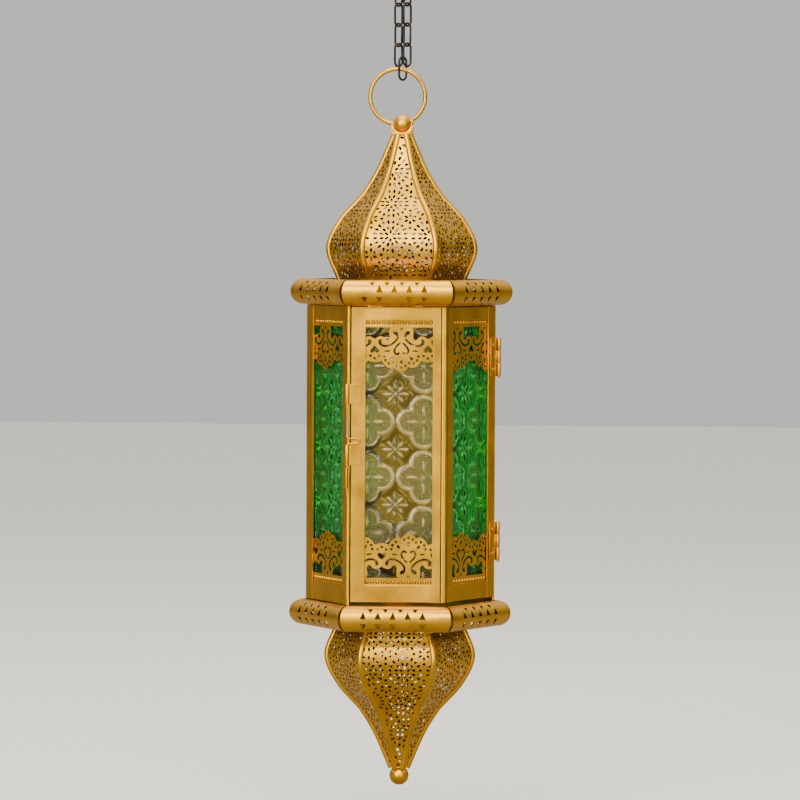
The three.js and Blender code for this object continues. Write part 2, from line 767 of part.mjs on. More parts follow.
// The keeper is a sleeve on the fixed post. Its curl is open on the side to which the door swings,
// square to the line from the hinge's axis to the bolt's
function keeper() {
  const half = boltRadius + sleeveClearance;
  const toHinge = Math.atan2(-boltY, barrelX - boltX) - sideGroups.left_front.rotation.z;
  const slot = block(-half, half, -2 * sleeveRadius, 0, keeperFoot - 1, keeperFoot + sleeveHeight + 1)
    .rotateZ(toHinge)
    .translate(0, boltY, 0);
  return cut(sleeve(keeperFoot, keeperLeafWidth, false), [slot]);
}

function slidingBolt() {
  const lowerLimb = lowerSleeveFoot + sleeveHeight + seatGap + boltRadius;
  const upperLimb = lowerLimb + boltHandleHeight - 2 * boltRadius;
  const reach = boltHandleReach;
  const round = (upperLimb - lowerLimb) / 2;
  const boltTop = upperSleeveFoot + sleeveHeight - boltHeadInset;
  const points = [
    [0, keeperFoot - boltTail], [0, lowerLimb - boltBendRun], [0, lowerLimb - boltBendRound],
    [boltBendRound, lowerLimb], [reach / 2, lowerLimb], [reach - round, lowerLimb],
    [reach, lowerLimb + round], [reach - round, upperLimb], [reach / 2, upperLimb],
    [boltBendRound, upperLimb], [0, upperLimb + boltBendRound], [0, upperLimb + boltBendRun],
    [0, boltTop],
  ].map(([x, z]) => new THREE.Vector3(x, 0, z));
  return wire(points, boltRadius, 36, 5);
}

function candleCup() {
  return turned([
    [0, 0], [cupRadius, 0], [cupRadius, cupHeight], [cupRadius - cupWall, cupHeight],
    [cupRadius - cupWall, cupWall], [0, cupWall],
  ], 24);
}

// Assembly
const lantern = new THREE.Group();
lantern.position.z = -ceilingZ;
const sideGroups = {};
sideNames.forEach((side, k) => {
  const group = new THREE.Group();
  group.rotation.z = k * sideTurn;
  sideGroups[side] = group;
  lantern.add(group);
  group.add(piece(`${side}_frame`, panelFrame(side), goldPaint));
  group.add(piece(`${side}_glass`, pane(side), greenSides.includes(side) ? greenGlass : clearGlass));
  group.add(piece(`${side}_lace_top`, laceStrip(side, laceShiftTop[side], false), goldPaint));
  group.add(piece(`${side}_lace_bottom`, laceStrip(side, laceShiftBottom[side], true), goldPaint));
});
sideGroups.front.add(piece('door_corner_post', doorCornerPost(), goldPaint));
sideGroups.left_front.add(piece('latch_post', latchPost(), goldPaint));

const roof = piece('top_plate', rimmedPlate(true), goldPaint);
roof.position.z = roofFoot;
const floor = piece('bottom_plate', rimmedPlate(false), goldPaint);
floor.rotation.x = Math.PI;
floor.position.z = floorTop - seatGap;
lantern.add(roof, floor);

const upperDome = piece('upper_dome', dome(), goldPaint);
upperDome.position.z = domeFootZ;
const lowerDome = piece('lower_dome', dome(), goldPaint);
lowerDome.rotation.x = Math.PI;
lowerDome.position.z = floorTop - 2 * seatGap - sheet;
lantern.add(upperDome, lowerDome);

const ball = piece('top_ball', topBall(), goldPaint);
const ears = piece('ring_yoke', yoke(), goldPaint);
ball.position.z = pivotZ;
ears.position.z = pivotZ;
const ring = piece('hanging_ring', hangingRing(), goldPaint);
ring.position.copy(ringCentre);
const finial = piece('finial_ball', finialBall(), goldPaint);
const lowerTipZ = lowerDome.position.z - collarHeight - domeHeight;
finial.position.z = lowerTipZ - seatGap - finialRadius + finialSeatDepth;
const cup = piece('candle_cup', candleCup(), goldPaint);
cup.position.z = floorTop;
lantern.add(ball, ears, ring, finial, cup);

['lower', 'upper'].forEach((level, i) => {
  const foot = hingeCentreHeights[i] - hingeHeight / 2;
  const doorLeaf = piece(`${level}_hinge_door_leaf`, hingeLeaf(true), goldPaint);
  const fixedLeaf = piece(`${level}_hinge_fixed_leaf`, hingeLeaf(false), goldPaint);
  const pin = piece(`${level}_hinge_pin`, hingePin(), goldPaint);
  doorLeaf.position.z = foot;
  fixedLeaf.position.z = foot;
  pin.position.set(barrelX, 0, foot);
  lantern.add(doorLeaf, fixedLeaf, pin);
});

const bolt = piece('latch_bolt', slidingBolt(), goldPaint);
bolt.position.set(boltX, boltY, 0);
lantern.add(bolt);
const upperSleeve = piece('upper_bolt_sleeve', sleeve(upperSleeveFoot, sleeveLeafWidth, true), goldPaint);
const lowerSleeve = piece('lower_bolt_sleeve', sleeve(lowerSleeveFoot, sleeveLeafWidth, true), goldPaint);
upperSleeve.position.x = boltX;
lowerSleeve.position.x = boltX;
lantern.add(upperSleeve, lowerSleeve);
const boltKeeper = piece('bolt_keeper', keeper(), goldPaint);
boltKeeper.position.x = -boltX;
sideGroups.left_front.add(boltKeeper);

const strands = { left: -strandSpacing / 2, right: strandSpacing / 2 };
for (let level = 1; level <= chainLevels; level++) {
  for (const [strand, offset] of Object.entries(strands)) {
    const link = piece(`chain_link_${strand}_${level}`, chainLink(), blackSteel);
    link.position.copy(strandDirection).multiplyScalar(offset).setZ(linkZ(level));
    link.rotation.z = strandTurn + (level % 2 ? Math.PI / 2 : 0);
    lantern.add(link);
  }
}
const ringLink = piece('chain_ring_link', chainLink().rotateY(Math.PI / 2), blackSteel);
ringLink.rotation.z = strandTurn;
ringLink.position.z = ringLinkZ;
lantern.add(ringLink);

const hook = piece('ceiling_hook', ceilingHook(), blackSteel);
hook.rotation.z = strandTurn;
const plate = piece('ceiling_plate', ceilingPlate(), blackSteel);
plate.position.z = ceilingZ;
lantern.add(hook, plate);

const pendantLantern = new THREE.Group();
pendantLantern.add(lantern);
export default pendantLantern;
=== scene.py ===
# Moroccan pendant lantern: the finished look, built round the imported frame
import json
import math

import bmesh
import bpy
import numpy as np
from mathutils import Matrix, Vector
from mathutils.geometry import delaunay_2d_cdt

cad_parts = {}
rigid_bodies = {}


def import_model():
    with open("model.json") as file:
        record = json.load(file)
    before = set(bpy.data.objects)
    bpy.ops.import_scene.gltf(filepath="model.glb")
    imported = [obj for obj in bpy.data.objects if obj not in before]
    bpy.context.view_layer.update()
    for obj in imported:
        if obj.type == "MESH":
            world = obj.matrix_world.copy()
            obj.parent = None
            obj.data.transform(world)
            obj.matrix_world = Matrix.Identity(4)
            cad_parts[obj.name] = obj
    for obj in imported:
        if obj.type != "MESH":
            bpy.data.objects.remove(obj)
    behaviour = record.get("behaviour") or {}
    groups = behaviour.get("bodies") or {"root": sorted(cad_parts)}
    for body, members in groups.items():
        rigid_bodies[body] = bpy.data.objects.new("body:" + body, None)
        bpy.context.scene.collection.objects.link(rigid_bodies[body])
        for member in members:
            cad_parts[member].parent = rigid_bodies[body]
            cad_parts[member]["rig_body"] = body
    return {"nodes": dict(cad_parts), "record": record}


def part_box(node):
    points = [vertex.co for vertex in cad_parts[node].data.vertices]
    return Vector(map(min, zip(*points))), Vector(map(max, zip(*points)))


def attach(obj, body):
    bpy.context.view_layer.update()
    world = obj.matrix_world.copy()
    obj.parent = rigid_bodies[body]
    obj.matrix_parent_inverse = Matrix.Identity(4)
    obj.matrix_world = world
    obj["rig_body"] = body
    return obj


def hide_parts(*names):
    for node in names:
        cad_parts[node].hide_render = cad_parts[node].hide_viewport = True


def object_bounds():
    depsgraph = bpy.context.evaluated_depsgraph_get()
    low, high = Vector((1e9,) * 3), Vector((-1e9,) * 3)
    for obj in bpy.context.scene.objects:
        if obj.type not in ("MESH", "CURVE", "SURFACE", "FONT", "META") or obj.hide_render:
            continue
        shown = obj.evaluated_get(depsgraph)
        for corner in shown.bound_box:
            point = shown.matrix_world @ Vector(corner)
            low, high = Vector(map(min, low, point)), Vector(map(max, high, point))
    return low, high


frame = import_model()
cadBounds = [list(corner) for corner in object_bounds()]
print("frame loaded:", len(frame["nodes"]), "nodes")

mm = 0.001
sideTurn = math.pi / 3
# Edges that turn by more than these degrees stay sharp, by how the piece is made
sharpAbove = {"sheet": 20, "mixed": 35, "turned": 40, "stamped": 50, "wire": 60}
sideNames = ["front", "right_front", "right_back", "back", "left_back", "left_front"]
doorSides = ["front", "right_front"]
clearSides = ["front", "back"]
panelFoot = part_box("back_frame")[0].z / mm

# The hexagonal body, as the frame has it
body = {
    "cornerRadius": 63.3, "height": 197, "frameThickness": 1.2, "stileWidth": 9.45,
    "bottomRail": 13.6, "topRail": 9.2, "windowShift": 1.1, "doorFloorGap": 2.2, "doorRoofGap": 0.5,
    "edgeSetback": 1.3, "postLeg": 2.2, "postGroove": 0.8, "latchLeg": 4.5, "latchProud": 0.4, "gap": 0.3,
}
apothem = body["cornerRadius"] * math.cos(sideTurn / 2)
innerFace = apothem - body["frameThickness"]
windowWidth = body["cornerRadius"] - 2 * body["stileWidth"]
windowFoot = body["bottomRail"]
windowHead = body["height"] - body["topRail"]


# Small helpers for meshes
def turnOf(side):
    return -math.pi / 2 + sideNames.index(side) * sideTurn


def onPanel(side, across, out, up):
    turn = turnOf(side)
    x = out * math.cos(turn) - across * math.sin(turn)
    y = out * math.sin(turn) + across * math.cos(turn)
    return Vector((x, y, up + panelFoot))


def halfSide(out, setback=0):
    return out * math.tan(sideTurn / 2) - setback


def objectOf(name, mesh):
    obj = bpy.data.objects.new(name, mesh)
    bpy.context.scene.collection.objects.link(obj)
    return obj


def anglesRound(count, phase=0):
    return [2 * math.pi * (i + phase) / count for i in range(count)]


def meshOf(name, points, faces, scale=mm):
    mesh = bpy.data.meshes.new(name)
    mesh.from_pydata([tuple(c * scale for c in p) for p in points], [], faces)
    mesh.update()
    return mesh


def meshFrom(name, shaped):
    mesh = bpy.data.meshes.new(name)
    shaped.to_mesh(mesh)
    shaped.free()
    return mesh


def smooth(mesh, make="mixed"):
    mesh.shade_smooth()
    mesh.set_sharp_from_angle(angle=math.radians(sharpAbove[make]))


def joined(name, meshes, make="mixed"):
    parts = bmesh.new()
    for mesh in meshes:
        parts.from_mesh(mesh)
    whole = meshFrom(name, parts)
    for mesh in meshes:
        for material in mesh.materials:
            if material and material.name not in whole.materials:
                whole.materials.append(material)
    smooth(whole, make)
    return whole


def fitted(name, mesh, bodyName, nodes, material=None):
    if material:
        mesh.materials.clear()
        mesh.materials.append(material)
    obj = objectOf(name, mesh)
    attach(obj, bodyName)
    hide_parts(*nodes)
    return obj


def bodyOf(node):
    return frame["nodes"][node]["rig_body"]


def smoothLine(points, steps, closed=False):
    # A centripetal curve through the points, for profiles and bent wire
    knots = [Vector(p) for p in points]
    count = len(knots)
    spans = count if closed else count - 1
    line = []
    for i in range(spans):
        p1 = knots[i]
        p2 = knots[(i + 1) % count]
        p0 = knots[i - 1] if closed or i > 0 else p1 * 2 - p2
        p3 = knots[(i + 2) % count] if closed or i + 2 < count else p2 * 2 - p1
        t0 = 0.0
        t1 = t0 + max((p1 - p0).length, 1e-6) ** 0.5
        t2 = t1 + max((p2 - p1).length, 1e-6) ** 0.5
        t3 = t2 + max((p3 - p2).length, 1e-6) ** 0.5
        for k in range(steps):
            t = t1 + (t2 - t1) * k / steps
            a1 = p0 * ((t1 - t) / (t1 - t0)) + p1 * ((t - t0) / (t1 - t0))
            a2 = p1 * ((t2 - t) / (t2 - t1)) + p2 * ((t - t1) / (t2 - t1))
            a3 = p2 * ((t3 - t) / (t3 - t2)) + p3 * ((t - t2) / (t3 - t2))
            b1 = a1 * ((t2 - t) / (t2 - t0)) + a2 * ((t - t0) / (t2 - t0))
            b2 = a2 * ((t3 - t) / (t3 - t1)) + a3 * ((t - t1) / (t3 - t1))
            line.append(b1 * ((t2 - t) / (t2 - t1)) + b2 * ((t - t1) / (t2 - t1)))
    if not closed:
        line.append(knots[-1])
    return line


def pathOf(name, points, closed=False):
    curve = bpy.data.curves.new(name, "CURVE")
    curve.dimensions = "3D"
    line = curve.splines.new("POLY")
    line.points.add(len(points) - 1)
    for point, p in zip(line.points, points):
        point.co = (p[0] * mm, p[1] * mm, p[2] * mm, 1)
    line.use_cyclic_u = closed
    return objectOf(name, curve)


# Node trees
def newTree(name, inputs, outputs=None, kind="GeometryNodeTree"):
    tree = bpy.data.node_groups.new(name, kind)
    if kind == "GeometryNodeTree":
        tree.interface.new_socket("Geometry", in_out="INPUT", socket_type="NodeSocketGeometry")
    for label, socketKind in inputs:
        tree.interface.new_socket(label, in_out="INPUT", socket_type="NodeSocket" + socketKind)
    for label, socketKind in outputs or [("Geometry", "Geometry")]:
        tree.interface.new_socket(label, in_out="OUTPUT", socket_type="NodeSocket" + socketKind)
    return tree, tree.nodes.new("NodeGroupInput").outputs, tree.nodes.new("NodeGroupOutput").inputs


def node(tree, kind, inputs=None, **settings):
    made = tree.nodes.new(kind)
    for key, value in settings.items():
        setattr(made, key, value)
    for key, value in (inputs or {}).items():
        if isinstance(value, bpy.types.NodeSocket):
            tree.links.new(value, made.inputs[key])
        else:
            made.inputs[key].default_value = value
    return made


def calc(tree, operation, one, other=None):
    inputs = {0: one} if other is None else {0: one, 1: other}
    return node(tree, "ShaderNodeMath", inputs, operation=operation).outputs[0]


def closeTree(tree, geometry, given, end):
    real = node(tree, "GeometryNodeRealizeInstances", {"Geometry": geometry}).outputs[0]
    painted = node(tree, "GeometryNodeSetMaterial", {"Geometry": real, "Material": given["Material"]})
    tree.links.new(painted.outputs[0], end["Geometry"])


def runTree(name, tree, values, base=None):
    # Runs the tree on a mesh and gives back the plain result
    obj = objectOf(name, base or bpy.data.meshes.new(name))
    modifier = obj.modifiers.new(tree.name, "NODES")
    modifier.node_group = tree
    for item in tree.interface.items_tree:
        if item.in_out == "INPUT" and item.name in values:
            modifier[item.identifier] = values[item.name]
    graph = bpy.context.evaluated_depsgraph_get()
    mesh = bpy.data.meshes.new_from_object(obj.evaluated_get(graph), depsgraph=graph)
    bpy.data.objects.remove(obj)
    return mesh


def makeBendSheet():
    # Gives flat sheet its thickness, bends it up a profile and turns it to its side of the lantern
    tree, given, end = newTree("bendSheet", [
        ("Profile", "Object"), ("Thickness", "Float"), ("Material", "Material")])
    flat = given["Geometry"]
    raised = node(tree, "GeometryNodeExtrudeMesh", {
        "Mesh": flat, "Offset Scale": given["Thickness"], "Individual": False})
    back = node(tree, "GeometryNodeFlipFaces", {"Mesh": flat})
    both = node(tree, "GeometryNodeJoinGeometry")
    tree.links.new(raised.outputs["Mesh"], both.inputs[0])
    tree.links.new(back.outputs["Mesh"], both.inputs[0])
    closed = node(tree, "GeometryNodeMergeByDistance", {"Geometry": both.outputs[0], "Distance": 1e-6})
    position = node(tree, "GeometryNodeInputPosition").outputs[0]
    place = node(tree, "ShaderNodeSeparateXYZ", {0: position}).outputs
    halfThickness = calc(tree, "MULTIPLY", given["Thickness"], 0.5)
    # The sheet's inner side is marked here, for the painted shade that the gold puts on it
    underside = node(tree, "FunctionNodeCompare", {"A": place["Z"], "B": halfThickness},
                     data_type="FLOAT", operation="LESS_THAN")
    marked = node(tree, "GeometryNodeStoreNamedAttribute", {
        "Geometry": closed.outputs[0], "Name": "inside", "Value": underside.outputs[0]}, data_type="FLOAT")
    across = node(tree, "GeometryNodeInputNamedAttribute", {"Name": "across"}, data_type="FLOAT").outputs[0]
    turn = node(tree, "GeometryNodeInputNamedAttribute", {"Name": "turn"}, data_type="FLOAT").outputs[0]
    line = node(tree, "GeometryNodeObjectInfo", {"Object": given["Profile"]}, transform_space="ORIGINAL")
    sample = node(tree, "GeometryNodeSampleCurve",
                  {"Curves": line.outputs["Geometry"], "Length": place["Y"]}, mode="LENGTH")
    along = node(tree, "ShaderNodeSeparateXYZ", {0: sample.outputs["Tangent"]}).outputs
    backwards = calc(tree, "MULTIPLY", along["X"], -1.0)
    outward = node(tree, "ShaderNodeCombineXYZ", {"X": along["Z"], "Z": backwards})
    lift = calc(tree, "SUBTRACT", place["Z"], given["Thickness"])
    raisedBy = node(tree, "ShaderNodeVectorMath", {0: outward.outputs[0], "Scale": lift}, operation="SCALE")
    sideways = node(tree, "ShaderNodeCombineXYZ", {"Y": across})
    atProfile = node(tree, "ShaderNodeVectorMath",
                     {0: sample.outputs["Position"], 1: raisedBy.outputs[0]}, operation="ADD")
    spread = node(tree, "ShaderNodeVectorMath",
                  {0: atProfile.outputs[0], 1: sideways.outputs[0]}, operation="ADD")
    turned = node(tree, "ShaderNodeVectorRotate",
                  {"Vector": spread.outputs[0], "Angle": turn}, rotation_type="Z_AXIS")
    bent = node(tree, "GeometryNodeSetPosition", {
        "Geometry": marked.outputs[0], "Position": turned.outputs[0]})
    closeTree(tree, bent.outputs[0], given, end)
    return tree


def makeRoundWire():
    # A round wire or bead along a path, copied evenly round the lantern's axis
    tree, given, end = newTree("roundWire", [
        ("Path", "Object"), ("Radius", "Float"), ("Sides", "Int"), ("Copies", "Int"),
        ("Material", "Material")])
    path = node(tree, "GeometryNodeObjectInfo", {"Object": given["Path"]}, transform_space="ORIGINAL")
    section = node(tree, "GeometryNodeCurvePrimitiveCircle", {
        "Resolution": given["Sides"], "Radius": given["Radius"]})
    tube = node(tree, "GeometryNodeCurveToMesh", {
        "Curve": path.outputs["Geometry"], "Profile Curve": section.outputs["Curve"], "Fill Caps": True})
    spots = node(tree, "GeometryNodePoints", {"Count": given["Copies"]})
    index = node(tree, "GeometryNodeInputIndex").outputs[0]
    angle = calc(tree, "MULTIPLY", index, sideTurn)
    turn = node(tree, "ShaderNodeCombineXYZ", {"Z": angle})
    copies = node(tree, "GeometryNodeInstanceOnPoints", {
        "Points": spots.outputs[0], "Instance": tube.outputs[0], "Rotation": turn.outputs[0]})
    closeTree(tree, copies.outputs[0], given, end)
    return tree


def makeBeadRow():
    # A straight row of domed beads or rivet heads on a panel
    tree, given, end = newTree("beadRow", [
        ("Count", "Int"), ("Start", "Vector"), ("Step", "Vector"), ("Size", "Vector"), ("Turn", "Float"),
        ("Material", "Material")])
    row = node(tree, "GeometryNodeMeshLine", {
        "Count": given["Count"], "Start Location": given["Start"], "Offset": given["Step"]})
    bead = node(tree, "GeometryNodeMeshIcoSphere", {"Radius": 1.0, "Subdivisions": 3})
    turn = node(tree, "ShaderNodeCombineXYZ", {"Z": given["Turn"]})
    beads = node(tree, "GeometryNodeInstanceOnPoints", {
        "Points": row.outputs[0], "Instance": bead.outputs[0], "Rotation": turn.outputs[0],
        "Scale": given["Size"]})
    closeTree(tree, beads.outputs[0], given, end)
    return tree


bendSheet = makeBendSheet()
roundWire = makeRoundWire()
beadRow = makeBeadRow()
print("node trees ready")


# Materials: the paint's cloudiness and its waves are noise, with these scales and thresholds
paint = {"cloudScale": 60.0, "waveScale": 95.0, "darkBelow": 0.38, "lightAbove": 0.62,
         "smoothBelow": 0.3, "dullAbove": 0.7}


def makePaintTexture():
    # Fine speckle, brushed-on unevenness and the dulling in it, shared by the painted metals
    tree, given, end = newTree("paintTexture", [
        ("Light", "Color"), ("Dark", "Color"), ("Speckle Scale", "Float"), ("Wave", "Float"),
        ("Smooth", "Float"), ("Dull", "Float")],
        [("Color", "Color"), ("Roughness", "Float"), ("Height", "Float")], "ShaderNodeTree")
    spot = node(tree, "ShaderNodeTexCoord").outputs["Object"]
    fine = node(tree, "ShaderNodeTexNoise", {
        "Vector": spot, "Scale": given["Speckle Scale"], "Detail": 2.0})
    broad = node(tree, "ShaderNodeTexNoise", {
        "Vector": spot, "Scale": paint["cloudScale"], "Detail": 3.0})
    mixed = calc(tree, "MULTIPLY", calc(tree, "ADD", fine.outputs[0], broad.outputs[0]), 0.5)
    mask = node(tree, "ShaderNodeMapRange", {
        "Value": mixed, "From Min": paint["darkBelow"], "From Max": paint["lightAbove"]}).outputs[0]
    tone = node(tree, "ShaderNodeMix", {"Factor": mask}, data_type="RGBA")
    tree.links.new(given["Dark"], tone.inputs[6])
    tree.links.new(given["Light"], tone.inputs[7])
    tree.links.new(tone.outputs[2], end["Color"])
    rough = node(tree, "ShaderNodeMapRange", {
        "Value": broad.outputs[0], "From Min": paint["smoothBelow"], "From Max": paint["dullAbove"],
        "To Min": given["Smooth"], "To Max": given["Dull"]})
    tree.links.new(rough.outputs[0], end["Roughness"])
    waves = node(tree, "ShaderNodeTexNoise", {"Vector": spot, "Scale": paint["waveScale"], "Detail": 1.0})
    swell = calc(tree, "MULTIPLY", waves.outputs[0], given["Wave"])
    tree.links.new(calc(tree, "ADD", fine.outputs[0], swell), end["Height"])
    return tree


paintTexture = makePaintTexture()


def paintedMetal(name, look, wearAndShadeMask=None):
    # wearAndShadeMask builds a mask in the material where the paint is worn to another colour, and for the
    # gold, where its inner side is darkened as painted shade
    material = bpy.data.materials.new(name)
    material.use_nodes = True
    tree = material.node_tree
    shader = tree.nodes["Principled BSDF"]
    texture = node(tree, "ShaderNodeGroup", node_tree=paintTexture)
    for label in ("Light", "Dark", "Speckle Scale", "Wave", "Smooth", "Dull"):
        texture.inputs[label].default_value = look[label]
    shader.inputs["Metallic"].default_value = look["Metallic"]
    bump = node(tree, "ShaderNodeBump", {
        "Height": texture.outputs["Height"], "Distance": look["Depth"], "Strength": 1.0})
    colour = texture.outputs["Color"]
    if wearAndShadeMask:
        inputs = {0: wearAndShadeMask(tree), 6: colour, 7: look["WearAndShade"]}
        colour = node(tree, "ShaderNodeMix", inputs, data_type="RGBA").outputs[2]
    tree.links.new(colour, shader.inputs["Base Color"])
    tree.links.new(texture.outputs["Roughness"], shader.inputs["Roughness"])
    tree.links.new(bump.outputs[0], shader.inputs["Normal"])
    return material


# Heights in metres between which the bolt's wire is bare: where each end of the band begins and is full
bareWire = {"foot": (-0.3400, -0.3385), "head": (-0.3245, -0.3265)}


def bareBand(tree):
    # The bolt's sleeve has rubbed the paint off this stretch of the wire
    spot = node(tree, "ShaderNodeTexCoord").outputs["Object"]
    height = node(tree, "ShaderNodeSeparateXYZ", {0: spot}).outputs["Z"]
    ends = []
    for begins, full in bareWire.values():
        fade = node(tree, "ShaderNodeMapRange", {"Value": height, "From Min": begins, "From Max": full})
        ends.append(fade.outputs[0])
    return calc(tree, "MULTIPLY", *ends)


def paintedShadeInside(tree):
    # Painted shade: the gold sheets' inner side is painted near black-brown, standing for the shade inside
    # the lantern
    return node(tree, "ShaderNodeAttribute", attribute_name="inside").outputs["Fac"]


rust = {"scale": 700.0, "noneBelow": 0.38, "fullAbove": 0.6}


def rubbedEnds(tree):
    # A link's ends carry the attribute; noise breaks the rust up
    ends = node(tree, "ShaderNodeAttribute", attribute_name="wear").outputs["Fac"]
    spot = node(tree, "ShaderNodeTexCoord").outputs["Object"]
    patches = node(tree, "ShaderNodeTexNoise", {"Vector": spot, "Scale": rust["scale"], "Detail": 3.0})
    broken = node(tree, "ShaderNodeMapRange", {
        "Value": patches.outputs[0], "From Min": rust["noneBelow"], "From Max": rust["fullAbove"]})
    return calc(tree, "MULTIPLY", ends, broken.outputs[0])


goldLook = {
    "Light": (0.86, 0.46, 0.026, 1), "Dark": (0.72, 0.37, 0.018, 1), "Speckle Scale": 2600.0, "Wave": 32.0,
    "Smooth": 0.28, "Dull": 0.42, "Metallic": 1.0, "Depth": 0.000008}
steelLook = {
    "Light": (0.040, 0.042, 0.050, 1), "Dark": (0.012, 0.011, 0.012, 1), "Speckle Scale": 1800.0,
    "Wave": 3.0, "Smooth": 0.28, "Dull": 0.45, "Metallic": 0.85, "Depth": 0.00001}
# Colours the masks bring in: painted shade on the gold's inner side, and the bolt's bare steel and the
# links' rust as real wear
wearAndShadeTones = {"insideShade": (0.055, 0.027, 0.008, 1), "bareSteel": (0.20, 0.24, 0.28, 1),
             "rust": (0.105, 0.045, 0.02, 1)}
goldPaint = paintedMetal("gold_paint", {**goldLook, "WearAndShade": wearAndShadeTones["insideShade"]}, paintedShadeInside)
wornGold = paintedMetal("gold_paint_worn", {**goldLook, "WearAndShade": wearAndShadeTones["bareSteel"]}, bareBand)
blackSteel = paintedMetal("black_steel", {**steelLook, "WearAndShade": wearAndShadeTones["rust"]}, rubbedEnds)

# Cells of the pebbled glass: how uneven they lie, and where a pebble's slope ends; IOR of common glass
pebble = {"randomness": 0.35, "foot": 0.55, "ior": 1.46}


def pressedGlass(name, look):
    material = bpy.data.materials.new(name)
    material.use_nodes = True
    tree = material.node_tree
    shader = tree.nodes["Principled BSDF"]
    shader.inputs["Transmission Weight"].default_value = 1.0
    shader.inputs["Roughness"].default_value = look["Roughness"]
    shader.inputs["IOR"].default_value = pebble["ior"]
    place = node(tree, "ShaderNodeUVMap", uv_map="pane").outputs[0]
    dots = node(tree, "ShaderNodeTexVoronoi", {
        "Vector": place, "Scale": 1.0, "Randomness": pebble["randomness"]})
    swell = node(tree, "ShaderNodeMapRange", {
        "Value": dots.outputs["Distance"], "From Min": 0.0, "From Max": pebble["foot"],
        "To Min": 1.0, "To Max": 0.0}).outputs[0]
    # Painted highlight: raised ridges and pebbles take the light tint, and the sunk ground the dark one as
    # painted shade
    mask = node(tree, "ShaderNodeAttribute", attribute_name="pebbled").outputs["Fac"]
    height = calc(tree, "MULTIPLY", swell, mask)
    raised = node(tree, "ShaderNodeAttribute", attribute_name="raised").outputs["Fac"]
    pebbleShine = calc(tree, "MULTIPLY", height, look["PebbleHighlight"])
    light = calc(tree, "MAXIMUM", raised, pebbleShine)
    tint = node(tree, "ShaderNodeMix", {0: light, 6: look["GroundShade"], 7: look["RaisedHighlight"]}, data_type="RGBA")
    tree.links.new(tint.outputs[2], shader.inputs["Base Color"])
    bump = node(tree, "ShaderNodeBump", {"Height": height, "Distance": look["Depth"], "Strength": 1.0})
    tree.links.new(bump.outputs[0], shader.inputs["Normal"])
    return material


# Painted highlight and painted shade: the raised pattern and the pebbles are tinted far lighter than the
# sunk ground, whose dark tint stands for shade seen through the glass
clearGlass = pressedGlass("clear_glass", {
    "GroundShade": (0.15, 0.115, 0.012, 1), "RaisedHighlight": (1.0, 0.87, 0.50, 1), "PebbleHighlight": 1.0, "Roughness": 0.03,
    "Depth": 0.0004})
greenGlass = pressedGlass("green_glass", {
    "GroundShade": (0.0, 0.22, 0.03, 1), "RaisedHighlight": (0.10, 0.92, 0.22, 1), "PebbleHighlight": 0.5, "Roughness": 0.03,
    "Depth": 0.0004})
slotMaterials = {
    "gold_paint": goldPaint, "black_steel": blackSteel,
    "clear_glass": clearGlass, "green_glass": greenGlass,
}
for part in frame["record"]["subparts"]:
    shown = frame["nodes"][part["node"]]
    shown.data.materials.clear()
    shown.data.materials.append(slotMaterials[part["material_slot"]])
print("materials ready")


# Flat sheet with holes, laid out in millimetres: across, along
def insideOf(polygon, x, y):
    inside = False
    last = polygon[-1]
    for corner in polygon:
        if (corner[1] > y) != (last[1] > y):
            if x < (last[0] - corner[0]) * (y - corner[1]) / (last[1] - corner[1]) + corner[0]:
                inside = not inside
        last = corner
    return inside


def triangulated(places, edges):
    # Gives points, edges and triangles of all regions, and the given points that each point stands for
    allRegions, nearness = 1, 1e-5
    return delaunay_2d_cdt(places, edges, [], allRegions, nearness, True)


def flatSheet(name, islands):
    # Each island: its outline, its holes, extra points between them and its side's turn
    points = []
    triangles = []
    across = []
    turns = []
    # Islands lie this far apart in the flat, until the bending brings them home
    islandPitch = 200
    for index, island in enumerate(islands):
        loops = [island["outline"]] + island["holes"]
        between = island["between"]
        places = []
        owners = []
        edges = []
        for number, loop in enumerate(loops):
            first = len(places)
            places += [Vector((p[0], p[1])) for p in loop]
            owners += [number] * len(loop)
            edges += [(first + i, first + (i + 1) % len(loop)) for i in range(len(loop))]
        # A third number on a point between the loops says how far the sheet is stamped out there
        stamps = [0] * len(places) + [p[2] if len(p) > 2 else 0 for p in between]
        places += [Vector((p[0], p[1])) for p in between]
        owners += [-1] * len(between)
        made = triangulated(places, edges)
        spots, found, sources = made[0], made[2], made[3]
        origin = [owners[ids[0]] if ids else -1 for ids in sources]
        used = {}
        for triangle in found:
            loopNumbers = {origin[i] for i in triangle}
            if len(loopNumbers) == 1 and -1 not in loopNumbers:
                number = loopNumbers.pop()
                x = sum(spots[i][0] for i in triangle) / 3
                y = sum(spots[i][1] for i in triangle) / 3
                within = insideOf(loops[number], x, y)
                if within != (number == 0):
                    continue
            corners = []
            for i in triangle:
                if i not in used:
                    used[i] = len(points)
                    stamped = stamps[sources[i][0]] if sources[i] else 0
                    points.append((spots[i][0] + islandPitch * index, spots[i][1], stamped))
                    across.append(spots[i][0] * mm)
                    turns.append(island["turn"])
                corners.append(used[i])
            triangles.append(corners)
    mesh = meshOf(name, points, triangles)
    mesh.attributes.new("across", "FLOAT", "POINT").data.foreach_set("value", across)
    mesh.attributes.new("turn", "FLOAT", "POINT").data.foreach_set("value", turns)
    return mesh


def bentSheet(name, islands, profile, thickness):
    line = pathOf(name + "_profile", [(p[0], 0, p[1]) for p in profile])
    flat = flatSheet(name, islands)
    sizes = {"Profile": line, "Thickness": thickness * mm, "Material": goldPaint}
    mesh = runTree(name, bendSheet, sizes, flat)
    bpy.data.objects.remove(line)
    return mesh


